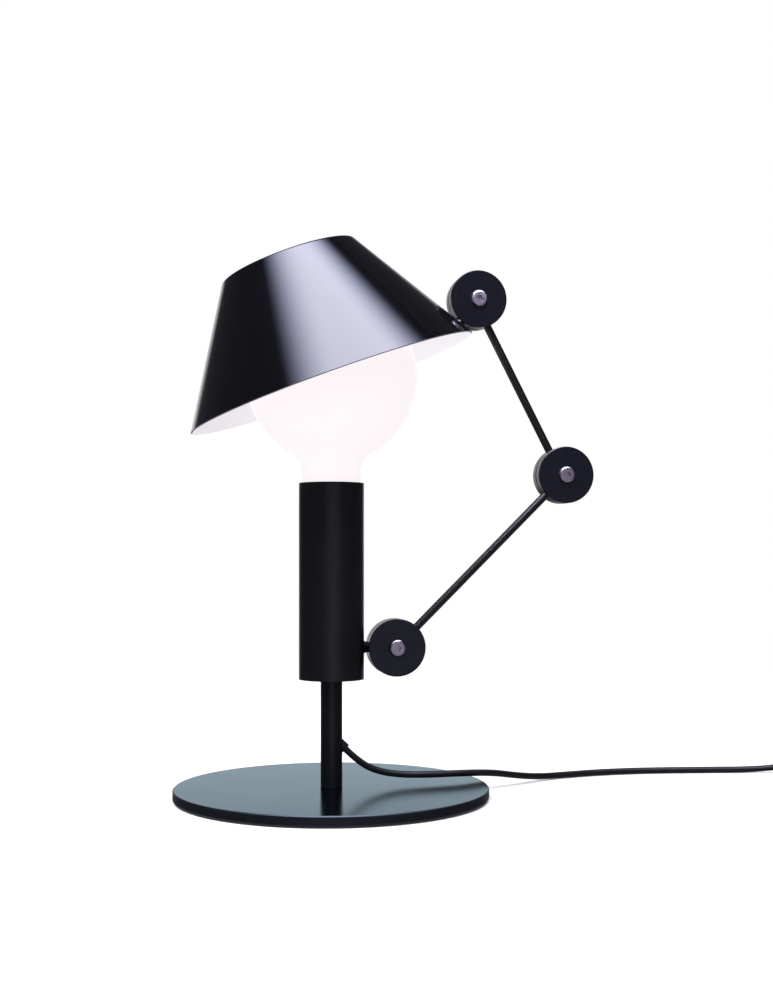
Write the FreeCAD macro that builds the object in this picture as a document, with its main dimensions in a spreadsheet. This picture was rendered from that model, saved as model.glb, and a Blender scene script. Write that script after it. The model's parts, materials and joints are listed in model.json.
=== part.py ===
"""Desk lamp with a bare globe bulb, a two-rod arm on friction discs and a cone shade worn like a hat.

Frame: millimetres, +Z up. The origin is the centre of the base's underside. The arm moves in the
XZ plane, +X towards the arm, and the viewer stands on the -Y side.
"""
import FreeCAD, Part
import math
import os
import re

import Sketcher
from FreeCAD import Placement, Rotation, Vector

# Driving sizes: name, value, what it is. Lengths in millimetres, angles in degrees.
SIZES = [
    ("pad_thickness", 1.2, "felt pad under the base"),
    ("pad_inset", 1.2, "pad edge inside the plate edge"),
    ("pad_hole_radius", 14, "opening in the pad for the base bolt"),
    ("plate_radius", 110, "steel base plate"),
    ("plate_thickness", 6.7, "steel base plate"),
    ("plate_edge", 0.7, "broken edge of the plate"),
    ("bolt_head_radius", 9, "low head of the base bolt"),
    ("bolt_head_height", 3.4, "low head of the base bolt"),
    ("bolt_length", 22, "shank of the base bolt"),
    ("bolt_socket_radius", 3.4, "corner radius of the base bolt's socket"),
    ("head_gap", 0.4, "room around a sunk screw head"),
    ("socket_radius", 2.4, "corner radius of a hexagon socket"),
    ("socket_depth", 1.9, "depth of a hexagon socket"),
    ("pole_radius", 7.6, "upright pole"),
    ("pole_bore", 5.05, "tapped bore of the pole"),
    ("pole_top", 140, "height of the pole's end inside the body tube"),
    ("thread_radius", 5, "threads that screw into the pole"),
    ("exit_height", 35.8, "cord exit, at the pole's wall"),
    ("exit_drop", 44, "angle of the cord exit below level"),
    ("cord_radius", 2.4, "round two-core cord"),
    ("cord_gap", 0.05, "room between the cord and what it passes through"),
    ("grommet_neck", 3.1, "radius of the grommet inside the pole's wall"),
    ("grommet_flange", 3.8, "radius of the grommet outside the wall"),
    ("grommet_reach", 2.8, "how far the grommet stands out"),
    ("grommet_depth", 3.4, "how far the grommet reaches in"),
    ("seat_gap", 0.02, "room at a curved seat"),
    ("tube_radius", 22.75, "body tube"),
    ("tube_wall", 1.5, "body tube"),
    ("tube_bottom", 82.8, "height of the body tube's lower end"),
    ("tube_length", 136.8, "body tube"),
    ("floor_thickness", 4, "plate that closes the body tube below"),
    ("slip_gap", 0.05, "radial room of a hand-fitted part"),
    ("collar_radius", 13, "clamp collar on the pole, inside the tube"),
    ("collar_height", 9, "clamp collar"),
    ("grub_radius", 2, "grub screw of the collar"),
    ("grub_sink", 0.2, "grub screw below the collar's face"),
    ("grub_socket_radius", 1, "corner radius of the grub screw's socket"),
    ("nipple_bore", 3.6, "wire way through the threaded nipple"),
    ("nipple_grip", 10, "length of nipple inside the pole"),
    ("nut_height", 4, "lock nut under the lampholder"),
    ("nut_flat", 15, "lock nut, across flats"),
    ("holder_bottom", 158, "height of the lampholder's underside"),
    ("holder_floor", 8, "lampholder, thickness of its floor"),
    ("holder_height", 41, "lampholder"),
    ("holder_radius", 19.8, "lampholder"),
    ("holder_bore", 14.05, "lampholder, bore for the screw shell"),
    ("carrier_height", 3, "insulating disc that carries the contacts"),
    ("shell_wall", 0.5, "lampholder screw shell"),
    ("shell_height", 26, "lampholder screw shell"),
    ("tongue_length", 14, "centre contact spring"),
    ("tongue_width", 6, "centre contact spring"),
    ("tongue_height", 3.6, "centre contact spring, bent up to the bulb"),
    ("tongue_side", 1.2, "centre contact spring, its near edge from the middle"),
    ("dome_radius", 1.2, "raised dome of the centre contact spring"),
    ("lead_radius", 0.8, "insulated core inside the holder"),
    ("lead_spread", 4.2, "distance of each core from the middle"),
    ("bulb_radius", 60, "opal globe"),
    ("bulb_height", 293.9, "height of the globe's centre"),
    ("bulb_wall", 0.9, "opal glass"),
    ("neck_radius", 20.7, "bulb neck"),
    ("neck_blend", 16, "hollow radius between globe and neck"),
    ("neck_low", 214, "height where the neck starts to narrow"),
    ("cap_radius", 13.2, "bulb screw cap"),
    ("cap_wall", 0.5, "bulb screw cap"),
    ("cap_low", 175, "height of the cap's lower edge"),
    ("cap_high", 199, "height where the cap meets the glass"),
    ("cap_ridges", 5, "rolled thread ridges of the cap"),
    ("ridge_height", 0.45, "rolled thread ridge"),
    ("tip_radius", 5.2, "bulb centre contact"),
    ("tip_height", 1.2, "bulb centre contact"),
    ("tip_face", 3.1, "bulb centre contact, at its end"),
    ("tip_root", 4.7, "bulb centre contact, at the insulator"),
    ("hip_height", 104.6, "height of the lower joint"),
    ("disc_radius", 20.2, "joint disc"),
    ("disc_thickness", 7.8, "joint disc"),
    ("disc_edge", 0.5, "broken edge of a disc"),
    ("washer_thickness", 0.8, "friction washer between two discs"),
    ("washer_radius", 18.6, "friction washer"),
    ("pivot_radius", 3, "shank of a pivot screw"),
    ("pivot_gap", 0.05, "running room around a pivot screw"),
    ("pivot_head_radius", 6.1, "button head of a pivot screw"),
    ("pivot_head_height", 3.3, "button head of a pivot screw"),
    ("pivot_nut_height", 3.9, "thin nut sunk in the rear disc"),
    ("pivot_nut_flat", 10, "thin nut, across flats"),
    ("nut_sink", 0.3, "how far the pivot nut lies below the disc's face"),
    ("hip_gap", 2.4, "gap between the body tube and the lower joint"),
    ("hand_gap", 3.2, "gap between the shade and the upper joint"),
    ("stud_wide", 5.4, "stud radius at the wall"),
    ("stud_narrow", 3.1, "stud radius at the disc"),
    ("fixing_radius", 2, "fixing screw through the stud"),
    ("fixing_grip", 10, "fixing screw inside the disc"),
    ("fixing_head_radius", 3.8, "fixing screw head"),
    ("fixing_head_height", 2.2, "fixing screw head"),
    ("fixing_socket_radius", 1.45, "corner radius of the fixing screw's socket"),
    ("fixing_socket_depth", 1.3, "depth of the fixing screw's socket"),
    ("saddle_radius", 4.2, "saddle washer inside the tube"),
    ("saddle_thickness", 2.4, "saddle washer at its middle"),
    ("lower_arm", 172.5, "pivot to pivot"),
    ("lower_angle", 45, "lower arm above level"),
    ("rod_radius", 2.8, "arm rods"),
    ("rod_stop", 9, "rod end to the pivot's centre"),
    ("rim_radius", 104, "shade at its rim"),
    ("crown_radius", 48.3, "shade at its closed top"),
    ("shade_height", 90, "shade along its axis"),
    ("shade_wall", 1, "shade, spun aluminium"),
    ("shade_tilt", 20, "shade axis leaning to -X"),
    ("shade_x", 0.3, "rim's centre"),
    ("bulb_rise", 4.8, "globe's centre above the rim's centre"),
    ("fixing_up", 11.4, "shade fixing above the rim, along the wall"),
    ("switch_x", 408, "inline switch centre"),
    ("switch_y", 44.6, "inline switch centre"),
    ("switch_turn", -9, "inline switch heading"),
    ("switch_length", 62, "inline switch"),
    ("switch_width", 25, "inline switch"),
    ("switch_low", 7.5, "lower half of the switch"),
    ("switch_high", 7.5, "upper half of the switch"),
    ("switch_wall", 2, "switch housing"),
    ("switch_round", 5, "corner radius of the switch"),
    ("rocker_length", 15.4, "switch rocker"),
    ("rocker_width", 9.6, "switch rocker"),
    ("rocker_height", 6.4, "switch rocker"),
    ("rocker_below", 2.4, "rocker below its pin"),
    ("rocker_gap", 0.6, "room around the rocker"),
    ("dish_radius", 23, "hollow on top of the rocker"),
    ("dish_depth", 1.3, "hollow on top of the rocker"),
    ("rocker_tilt", 8, "rocker to each side of level"),
    ("pin_radius", 1, "rocker pin"),
    ("pin_height", 12.6, "rocker pin above the table"),
    ("switch_screw_radius", 1.2, "screws that hold the switch halves"),
    ("switch_screw_head", 2.3, "screws that hold the switch halves"),
    ("switch_screw_spread", 21, "screws from the switch's middle"),
    ("switch_screw_side", 7, "screws from the switch's long axis"),
    ("switch_screw_grip", 4.5, "tapped holes in the upper half"),
    ("lug_length", 6, "lugs that hold the rocker pin"),
    ("lug_drop", 2.5, "lugs below the rocker pin"),
    ("contact_spread", 12.4, "contacts from the switch's middle"),
    ("contact_length", 6, "switch contact"),
    ("contact_width", 4, "switch contact"),
    ("contact_height", 2, "switch contact"),
    ("coil_middle", 29, "coil radius at the middle of its turns"),
    ("coil_turns", 3, "turns in each of the two layers"),
    ("turn_gap", 0.5, "room between turns"),
    ("coil_x", 475.2, "outermost point of the coil, where the cord enters"),
    ("coil_y", -24, "coil centre"),
    ("tie_thickness", 0.8, "tie around the coil"),
    ("tie_width", 9, "tie around the coil"),
    ("tie_gap", 0.6, "room inside the tie"),
    ("tie_rest", 0.2, "room between the tie and the lowest turns"),
    ("tie_round", 1.4, "corner radius of the tie"),
    ("plug_x", 420, "where the cord enters the plug"),
    ("plug_y", -89.6, "where the cord enters the plug"),
    ("plug_turn", 186, "heading of the plug's pins"),
    ("plug_relief", 16, "tapered cord end of the plug"),
    ("relief_tip", 3.6, "radius of the tapered end at the cord"),
    ("relief_root", 5.9, "radius of the tapered end at the plug body"),
    ("plug_length", 35, "flat two-pin plug body"),
    ("plug_width", 26, "flat two-pin plug body"),
    ("plug_thickness", 14, "flat two-pin plug body"),
    ("plug_bevel", 3.5, "long edges of the plug body"),
    ("plug_pin_radius", 2, "bare ends of the plug pins"),
    ("plug_pin_length", 19, "plug pins outside the body"),
    ("plug_pin_round", 1, "rounding of the pin ends"),
    ("pin_core_radius", 1.4, "plug pins inside their sleeves and the body"),
    ("pin_sleeve_radius", 1.8, "insulating sleeves of the plug pins"),
    ("pin_sleeve_length", 10, "insulating sleeves of the plug pins"),
    ("plug_pin_spacing", 19, "plug pins, centre to centre"),
    ("plug_pin_grip", 12, "plug pins inside the body"),
]

# Cord route over the base and along the table, chosen by hand. The first point is the exit itself.
LEAD_POINTS = [
    (20, 0, 23.8),
    (33, 1, 17.4),
    (49, 2.5, 14.4),
    (70, 4, 13.6),
    (95, 8.5, 13.4),
    (119, 17, 11.9),
    (141, 31, 6.9),
    (163, 46, 3.1),
    (188, 56.5, 2.5),
    (218, 63.5, 2.6),
    (255, 66, 2.5),
    (302, 61.5, 2.5),
    (338, 56.2, 2.8),
    (360, 52.4, 5.2),
]
# From the switch to the coil.
TAIL_POINTS = [
    (452.4, 37.4, 6.6),
    (467, 27, 4.6),
    (475.2, 11, 3.7),
    (475.6, -7, 3.4),
]
# From the coil's upper layer down to the plug.
END_POINTS = [
    (475.6, -40, 8.7),
    (473.2, -58, 5.7),
    (463.5, -75, 3.3),
    (447, -85.8, 4.2),
    (432.9, -88.2, 7),
]

# Sizes that follow from the ones above.
DERIVED = [
    ("plate_top", "pad_thickness + plate_thickness", "top of the base plate"),
    ("bolt_seat", "pad_thickness + bolt_head_height + head_gap", "height where the bolt head seats"),
    ("exit_way", "pole_radius / cos(exit_drop)", "from the pole's axis to the exit, along the exit"),
    ("tube_inside", "tube_radius - tube_wall", "inner radius of the body tube"),
    ("collar_low", "tube_bottom + floor_thickness", "height of the collar's underside"),
    ("holder_seat", "holder_bottom + holder_floor", "top of the lampholder's floor"),
    ("carrier_top", "holder_seat + carrier_height", "top of the contact carrier"),
    ("disc_middle", "0.5 * (washer_thickness + disc_thickness)", "a disc's middle from the arm's plane"),
    ("disc_face", "0.5 * washer_thickness + disc_thickness", "a disc's outer face from the arm's plane"),
    ("nut_corner", "0.5 * pivot_nut_flat / cos(30)", "corner radius of the thin nut"),
    ("hip_x", "tube_radius + hip_gap + disc_radius", "lower joint"),
    ("elbow_x", "hip_x + lower_arm * cos(lower_angle)", "middle joint"),
    ("elbow_z", "hip_height + lower_arm * sin(lower_angle)", "middle joint"),
    ("slant", "atan((rim_radius - crown_radius) / shade_height) / 1 deg", "shade wall from its axis"),
    ("normal", "shade_tilt + slant", "the shade wall's outward direction above +X"),
    ("wall_level", "shade_wall / cos(slant)", "the shade's wall, measured square to its axis"),
    ("wall_reach", "disc_radius + hand_gap", "upper joint to the shade's wall"),
    ("rim_z", "bulb_height - bulb_rise", "height of the rim's centre"),
    (
        "hand_x",
        "shade_x + rim_radius * cos(shade_tilt) + wall_reach * cos(normal) - fixing_up * sin(normal)",
        "upper joint",
    ),
    (
        "hand_z",
        "rim_z + rim_radius * sin(shade_tilt) + wall_reach * sin(normal) + fixing_up * cos(normal)",
        "upper joint",
    ),
    ("upper_arm", "sqrt((hand_x - elbow_x)^2 + (hand_z - elbow_z)^2)", "pivot to pivot"),
    ("upper_angle", "atan2(hand_z - elbow_z; hand_x - elbow_x) / 1 deg", "upper arm above +X"),
    (
        "wall_curve",
        "(disc_middle + fixing_head_radius)^2 * cos(slant) / (2 * (rim_radius - fixing_up))",
        "how far the shade's wall curves in under the fixing screw's head",
    ),
    ("switch_top", "switch_low + switch_high", "top of the switch"),
    ("lug_width", "rocker_width + 2 * rocker_gap + 2 * switch_wall", "over the two lugs"),
    ("pin_bare", "plug_relief + plug_length + pin_sleeve_length", "from the cord to the pins' bare ends"),
    ("plug_end", "plug_relief + plug_length + plug_pin_length", "from the cord to the ends of the pins"),
]

ALONG_Y = Rotation(Vector(1, 0, 0), -90)
ALONG_X = Rotation(Vector(0, 1, 0), 90)
UPRIGHT = Rotation()
NAMES = {name for name, value, meaning in SIZES + DERIVED}
WORD = re.compile(r"[a-z][a-z_]*")
ARC_SHARE = 0.45  # how much of a run each corner's arc may take
TANGENT_STEP = 0.001  # in turns of the coil
OUTLINE_MIDDLE = 20  # where an outline starts before its sizes take hold
OUTLINE_SPREAD = 9
RIDGE_FOOT = 0.6  # shares of half a thread's pitch along the bulb cap
RIDGE_START = 1.1
RIDGE_END = 1.5

doc = FreeCAD.newDocument("desk_lamp")
sheet = doc.addObject("Spreadsheet::Sheet", "Sizes")
for row, (name, value, meaning) in enumerate(SIZES + DERIVED, start=1):
    sheet.set(f"A{row}", name)
    sheet.set(f"B{row}", f"={value}")
    sheet.set(f"C{row}", meaning)
    sheet.setAlias(f"B{row}", name)
    doc.recompute()

sub_parts = []


def size(name):
    """One driving size, read from the sheet."""
    return float(sheet.get(name))


def formula(text):
    """An expression over the sheet's cells, from text that names them plainly."""
    return WORD.sub(lambda word: f"Sizes.{word[0]}" if word[0] in NAMES else word[0], str(text))


def bind(item, **sizes):
    """Tie properties of an object to the sheet."""
    for prop, text in sizes.items():
        item.setExpression(prop, formula(text))
    return item


def put(item, x="0", y="0", z="0", turn=UPRIGHT):
    """Place an object at sizes from the sheet, turned by a fixed rotation."""
    item.Placement = Placement(Vector(0, 0, 0), turn)
    for axis, text in zip("xyz", (x, y, z)):
        item.setExpression(f"Placement.Base.{axis}", formula(text))
    return item


def lean(item, angle, x="0", y="0", z="0"):
    """Place an object so that its own Z points at an angle above +X, in the XZ plane."""
    put(item, x, y, z, Rotation(Vector(0, 1, 0), 1))
    item.setExpression("Placement.Rotation.Angle", formula(f"90 - ({angle})"))
    return item


def cylinder(name, radius, height):
    return bind(doc.addObject("Part::Cylinder", name), Radius=radius, Height=height)


def cone(name, low, high, height):
    return bind(doc.addObject("Part::Cone", name), Radius1=low, Radius2=high, Height=height)


def box(name, length, width, height):
    return bind(doc.addObject("Part::Box", name), Length=length, Width=width, Height=height)


def hexagon(name, corner, height):
    prism = doc.addObject("Part::Prism", name)
    prism.Polygon = 6
    return bind(prism, Circumradius=corner, Height=height)


def joined(name, *items):
    fuse = doc.addObject("Part::MultiFuse", name)
    fuse.Shapes = list(items)
    return fuse


def grouped(name, *items):
    """Separate solids kept together in one object."""
    group = doc.addObject("Part::Compound", name)
    group.Links = list(items)
    return group


def cut(name, base, *tools):
    """The base with one or more tools taken away."""
    result = doc.addObject("Part::Cut", name)
    result.Base = base
    result.Tool = tools[0] if len(tools) == 1 else joined(f"{name}_tools", *tools)
    return result


def common(name, first, second):
    result = doc.addObject("Part::Common", name)
    result.Base = first
    result.Tool = second
    return result


def edges_where(item, test):
    doc.recompute()
    return [number for number, edge in enumerate(item.Shape.Edges, start=1) if test(edge)]


def is_circle(edge):
    return isinstance(edge.Curve, Part.Circle)


def is_upright(edge):
    box_of_edge = edge.BoundBox
    return box_of_edge.ZLength > max(box_of_edge.XLength, box_of_edge.YLength)


def is_level_along_x(edge):
    box_of_edge = edge.BoundBox
    return box_of_edge.XLength > max(box_of_edge.ZLength, box_of_edge.YLength)


def rounded(name, item, radius, test, kind="Part::Fillet"):
    """Round or bevel the edges that pass a test."""
    result = doc.addObject(kind, name)
    result.Base = item
    result.Edges = [(number, size(radius), size(radius)) for number in edges_where(item, test)]
    return result


def part(item, label):
    """Register one finished sub-part under the name of its file."""
    item.Label = label
    sub_parts.append(item)
    return item


def turned(label, corners):
    """A turned sub-part: a closed outline of (radius, height) sizes revolved about its own Z."""
    body = doc.addObject("PartDesign::Body", f"{label}_body")
    sketch = body.newObject("Sketcher::SketchObject", f"{label}_outline")
    plane = [item for item in body.Origin.OriginFeatures if item.Role == "XZ_Plane"][0]
    sketch.AttachmentSupport = (plane, [""])
    sketch.MapMode = "FlatFace"
    count = len(corners)
    turns = [2 * math.pi * index / count for index in range(count)]
    places = [
        Vector(OUTLINE_MIDDLE + OUTLINE_SPREAD * math.cos(turn), OUTLINE_SPREAD * math.sin(turn), 0)
        for turn in turns
    ]
    for index in range(count):
        sketch.addGeometry(Part.LineSegment(places[index], places[(index + 1) % count]), False)
    for index in range(count):
        sketch.addConstraint(Sketcher.Constraint("Coincident", index, 2, (index + 1) % count, 1))
    for index, (radius, height) in enumerate(corners):
        start = places[index]
        for kind, text, place in (("DistanceX", radius, start.x), ("DistanceY", height, start.y)):
            number = sketch.addConstraint(Sketcher.Constraint(kind, -1, 1, index, 1, place))
            sketch.setExpression(f"Constraints[{number}]", formula(text))
    revolution = body.newObject("PartDesign::Revolution", f"{label}_turning")
    revolution.Profile = sketch
    revolution.ReferenceAxis = (sketch, ["V_Axis"])
    revolution.Angle = 360
    body.Tip = revolution
    return body


# Base: a steel plate on a felt pad, with the pole bolted to it from below.
def build_base():
    part(turned("base_plate", [
        ("bolt_head_radius + head_gap", "pad_thickness"),
        ("plate_radius - plate_edge", "pad_thickness"),
        ("plate_radius", "pad_thickness + plate_edge"),
        ("plate_radius", "plate_top - plate_edge"),
        ("plate_radius - plate_edge", "plate_top"),
        ("thread_radius + slip_gap", "plate_top"),
        ("thread_radius + slip_gap", "bolt_seat"),
        ("bolt_head_radius + head_gap", "bolt_seat"),
    ]), "base_plate")
    part(turned("base_pad", [
        ("pad_hole_radius", "0"),
        ("plate_radius - pad_inset", "0"),
        ("plate_radius - pad_inset", "pad_thickness"),
        ("pad_hole_radius", "pad_thickness"),
    ]), "base_pad")
    low = "bolt_seat - bolt_head_height"
    head = put(cylinder("bolt_head", "bolt_head_radius", "bolt_head_height"), z=low)
    shank = put(cylinder("bolt_shank", "thread_radius", "bolt_length"), z="bolt_seat")
    socket = put(hexagon("bolt_socket", "bolt_socket_radius", "socket_depth"), z=low)
    part(cut("bolt", joined("bolt_blank", head, shank), socket), "base_bolt")


# Pole: a tapped tube whose slanted side hole takes the cord's rubber grommet.
def along_exit(name, radius, length, distance):
    """A cylinder on the exit's axis that points out and down, from so far beyond the wall."""
    return lean(
        cylinder(name, radius, length),
        "-exit_drop",
        x=f"pole_radius + ({distance}) * cos(exit_drop)",
        z=f"exit_height - ({distance}) * sin(exit_drop)",
    )


def build_pole():
    outside = put(cylinder("pole_outside", "pole_radius", "pole_top - plate_top"), z="plate_top")
    bore = cylinder("pole_inside", "pole_bore", "pole_top")
    hole = along_exit(
        "pole_side_hole", "grommet_neck + slip_gap", "exit_way + 2 * grommet_neck", "-exit_way")
    part(cut("pole", outside, bore, hole), "pole")
    reach = "grommet_depth + grommet_reach"
    neck = along_exit("grommet_inner", "grommet_neck", reach, "-grommet_depth")
    flange = along_exit("grommet_outer", "grommet_flange", reach, "-grommet_depth")
    wall = cylinder("grommet_wall", "pole_radius + seat_gap", "pole_top")
    way = along_exit(
        "grommet_way", "cord_radius + cord_gap", f"{reach} + 2 * pole_radius", "-2 * grommet_depth")
    sleeve = joined("grommet_sleeve", neck, cut("grommet_flange_cut", flange, wall))
    part(cut("grommet", sleeve, way), "cord_grommet")


# Body tube: stands on a plate that a clamp collar holds to the pole.
def build_body():
    outside = put(cylinder("tube_outside", "tube_radius", "tube_length"), z="tube_bottom")
    inside = put(cylinder("tube_hollow", "tube_inside", "tube_length"), z="tube_bottom")
    hole = put(
        cylinder("tube_hole", "fixing_radius + slip_gap", "tube_radius"),
        "0", "disc_middle", "hip_height", ALONG_X)
    part(cut("tube", outside, inside, hole), "body_tube")
    part(turned("body_floor", [
        ("pole_radius + slip_gap", "tube_bottom"),
        ("tube_inside - slip_gap", "tube_bottom"),
        ("tube_inside - slip_gap", "collar_low"),
        ("pole_radius + slip_gap", "collar_low"),
    ]), "body_floor")
    ring = put(cylinder("collar_ring", "collar_radius", "collar_height"), z="collar_low")
    bore = put(cylinder("collar_bore", "pole_radius + slip_gap", "tube_length"), z="tube_bottom")
    middle = "collar_low + 0.5 * collar_height"
    tapped = cylinder("collar_tapped", "grub_radius + slip_gap", "collar_radius")
    part(cut("collar", ring, bore, put(tapped, z=middle, turn=ALONG_X)), "body_collar")
    grub = cylinder("grub", "grub_radius", "collar_radius - pole_radius - grub_sink")
    socket = hexagon("grub_socket", "grub_socket_radius", "socket_depth")
    part(cut(
        "grub_cut",
        put(grub, "pole_radius", "0", middle, ALONG_X),
        put(socket, "collar_radius - socket_depth", "0", middle, ALONG_X),
    ), "collar_grub_screw")


# Lampholder: screwed to the pole's end by a hollow threaded nipple.
def cores(name, radius):
    """Two upright cylinders where the live and neutral cores pass the contact carrier."""
    return [
        put(
            cylinder(f"{name}_{side}", radius, "carrier_height"),
            y=f"{sign} * 0.5 * lead_spread", z="holder_seat")
        for side, sign in (("live", 1), ("neutral", -1))
    ]


def build_holder():
    part(turned("holder_nipple", [
        ("nipple_bore", "pole_top - nipple_grip"),
        ("thread_radius", "pole_top - nipple_grip"),
        ("thread_radius", "holder_seat"),
        ("nipple_bore", "holder_seat"),
    ]), "holder_nipple")
    low = "holder_bottom - nut_height"
    nut = put(hexagon("nut_blank", "0.5 * nut_flat / cos(30)", "nut_height"), z=low)
    nut_bore = put(cylinder("nut_bore", "thread_radius + slip_gap", "nut_height"), z=low)
    part(cut("nut", nut, nut_bore), "holder_nut")
    part(turned("holder_body", [
        ("thread_radius + slip_gap", "holder_bottom"),
        ("holder_radius", "holder_bottom"),
        ("holder_radius", "holder_bottom + holder_height"),
        ("holder_bore", "holder_bottom + holder_height"),
        ("holder_bore", "holder_seat"),
        ("thread_radius + slip_gap", "holder_seat"),
    ]), "holder_body")
    disc = put(cylinder("carrier_disc", "holder_bore - slip_gap", "carrier_height"), z="holder_seat")
    part(cut("carrier", disc, *cores("carrier_way", "lead_radius + slip_gap")), "holder_carrier")
    part(turned("holder_shell", [
        ("holder_bore - slip_gap - shell_wall", "carrier_top"),
        ("holder_bore - slip_gap", "carrier_top"),
        ("holder_bore - slip_gap", "carrier_top + shell_height"),
        ("holder_bore - slip_gap - shell_wall", "carrier_top + shell_height"),
    ]), "holder_shell")
    blade = put(
        box("tongue_blade", "tongue_length", "tongue_width", "shell_wall"),
        "-0.5 * tongue_length", "-1 * tongue_side", "carrier_top")
    dome = put(cylinder("tongue_dome", "dome_radius", "tongue_height"), z="carrier_top")
    part(joined("tongue", blade, dome), "holder_tongue")
    part(grouped("leads", *cores("lead", "lead_radius")), "inner_leads")


def globe_outline(radius, blend, neck, centre, neck_low, throat, low):
    """The edges of a globe that flows into its neck, from the crown down to the throat."""
    drop = math.sqrt((radius + blend) ** 2 - (neck + blend) ** 2)
    hollow = Vector(neck + blend, 0, centre - drop)
    diagonal = radius * math.sqrt(0.5)
    crown = Vector(0, 0, centre + radius)
    equator = Vector(radius, 0, centre)
    meeting = Vector(0, 0, centre) + (hollow - Vector(0, 0, centre)) * (radius / (radius + blend))
    neck_top = Vector(neck, 0, hollow.z)
    towards = ((meeting - hollow).normalize() + Vector(-1, 0, 0)).normalize()
    return [
        Part.Arc(crown, Vector(diagonal, 0, centre + diagonal), equator).toShape(),
        Part.Arc(equator, belt(radius, centre, meeting), meeting).toShape(),
        Part.Arc(meeting, hollow + towards * blend, neck_top).toShape(),
        Part.makeLine(neck_top, Vector(neck, 0, neck_low)),
        Part.makeLine(Vector(neck, 0, neck_low), Vector(throat, 0, low)),
    ]


def belt(radius, centre, end):
    """The point midway along the globe between its equator and a lower point."""
    half = 0.5 * math.atan2(end.z - centre, end.x)
    return Vector(radius * math.cos(half), 0, centre + radius * math.sin(half))


def build_bulb():
    wall = size("bulb_wall")
    low = size("cap_high")
    throat = size("cap_radius")
    globe = size("bulb_radius")
    blend = size("neck_blend")
    neck = size("neck_radius")
    heights = (size("bulb_height"), size("neck_low"))
    outer = globe_outline(globe, blend, neck, *heights, throat, low)
    inner = globe_outline(globe - wall, blend + wall, neck - wall, *heights, throat - wall, low)
    crown = Part.makeLine(inner[0].Vertexes[0].Point, outer[0].Vertexes[0].Point)
    foot = Part.makeLine(outer[-1].Vertexes[-1].Point, inner[-1].Vertexes[-1].Point)
    outline = Part.Wire(Part.__sortEdges__([crown, *outer, foot, *inner]))
    glass = doc.addObject("Part::Feature", "glass")
    glass.Shape = Part.makeSolid(Part.Face(outline).revolve(Vector(0, 0, 0), Vector(0, 0, 1), 360))
    glass.Placement = Placement()
    part(glass, "bulb_glass")
    part(turned("bulb_cap", cap_outline()), "bulb_cap")
    part(turned("bulb_insulator", [
        ("0", "cap_low - tip_height"),
        ("tip_radius", "cap_low - tip_height"),
        ("cap_radius - cap_wall - slip_gap", "cap_low"),
        ("cap_radius - cap_wall - slip_gap", "cap_low + tip_height"),
        ("0", "cap_low + tip_height"),
    ]), "bulb_insulator")
    part(turned("bulb_tip", [
        ("0", "cap_low - 2 * tip_height"),
        ("tip_face", "cap_low - 2 * tip_height"),
        ("tip_root", "cap_low - tip_height"),
        ("0", "cap_low - tip_height"),
    ]), "bulb_tip")


def cap_outline():
    """The screw cap: a thin wall with rolled thread ridges."""
    count = int(size("cap_ridges"))
    step = f"(cap_high - cap_low) / (2 * {count} + 1)"
    corners = [("cap_radius - cap_wall", "cap_low")]
    for ridge in range(count):
        corners += [
            ("cap_radius - ridge_height", f"cap_low + {2 * ridge} * {step}"),
            ("cap_radius - ridge_height", f"cap_low + {2 * ridge + RIDGE_FOOT} * {step}"),
            ("cap_radius", f"cap_low + {2 * ridge + RIDGE_START} * {step}"),
            ("cap_radius", f"cap_low + {2 * ridge + RIDGE_END} * {step}"),
        ]
    corners += [
        ("cap_radius - ridge_height", f"cap_low + {2 * count} * {step}"),
        ("cap_radius", "cap_high"),
        ("cap_radius - cap_wall", "cap_high"),
    ]
    return corners


# Joints: two equal discs with a washer between them, held by a shoulder screw and a sunk nut.
JOINTS = {"hip": ("hip_x", "hip_height"), "elbow": ("elbow_x", "elbow_z"), "hand": ("hand_x", "hand_z")}
NUT_DEPTH = "disc_face - nut_sink - pivot_nut_height"
ROD = "rod"
FIXING = "fixing"


def radial(item, joint, angle, distance, side="0"):
    """Place an object so far from a joint's centre, its own Z pointing away from it."""
    x, z = JOINTS[joint]
    return lean(
        item, angle,
        x=f"{x} + ({distance}) * cos({angle})",
        y=f"{side} * disc_middle",
        z=f"{z} + ({distance}) * sin({angle})",
    )


def across(item, joint, depth):
    """Place an object on a joint's axis, its own Z along +Y, from a given depth."""
    x, z = JOINTS[joint]
    return put(item, x, depth, z, ALONG_Y)


def build_disc(joint, name, side, angle, hole):
    """One disc: a pivot bore, one radial hole, and in the rear disc a recess for the nut."""
    label = f"{joint}_{name}_disc"
    start = "0.5 * washer_thickness" if side > 0 else "-disc_face"
    blank = across(cylinder(f"{label}_round", "disc_radius", "disc_thickness"), joint, start)
    bevelled = rounded(f"{label}_blank", blank, "disc_edge", is_circle, "Part::Chamfer")
    bore = across(cylinder(f"{label}_bore", "pivot_radius + pivot_gap", "disc_thickness"), joint, start)
    if hole == ROD:
        radius, distance = "rod_radius + seat_gap", "rod_stop"
    else:
        radius, distance = "fixing_radius + slip_gap", "disc_radius - fixing_grip"
    side_hole = radial(cylinder(f"{label}_side_hole", radius, "disc_radius"), joint, angle, distance, side)
    tools = [bore, side_hole]
    if side > 0:
        recess = cylinder(f"{label}_recess", "nut_corner + head_gap", "disc_thickness")
        tools.append(across(recess, joint, NUT_DEPTH))
    part(cut(f"{label}_cut", bevelled, *tools), label)


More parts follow.
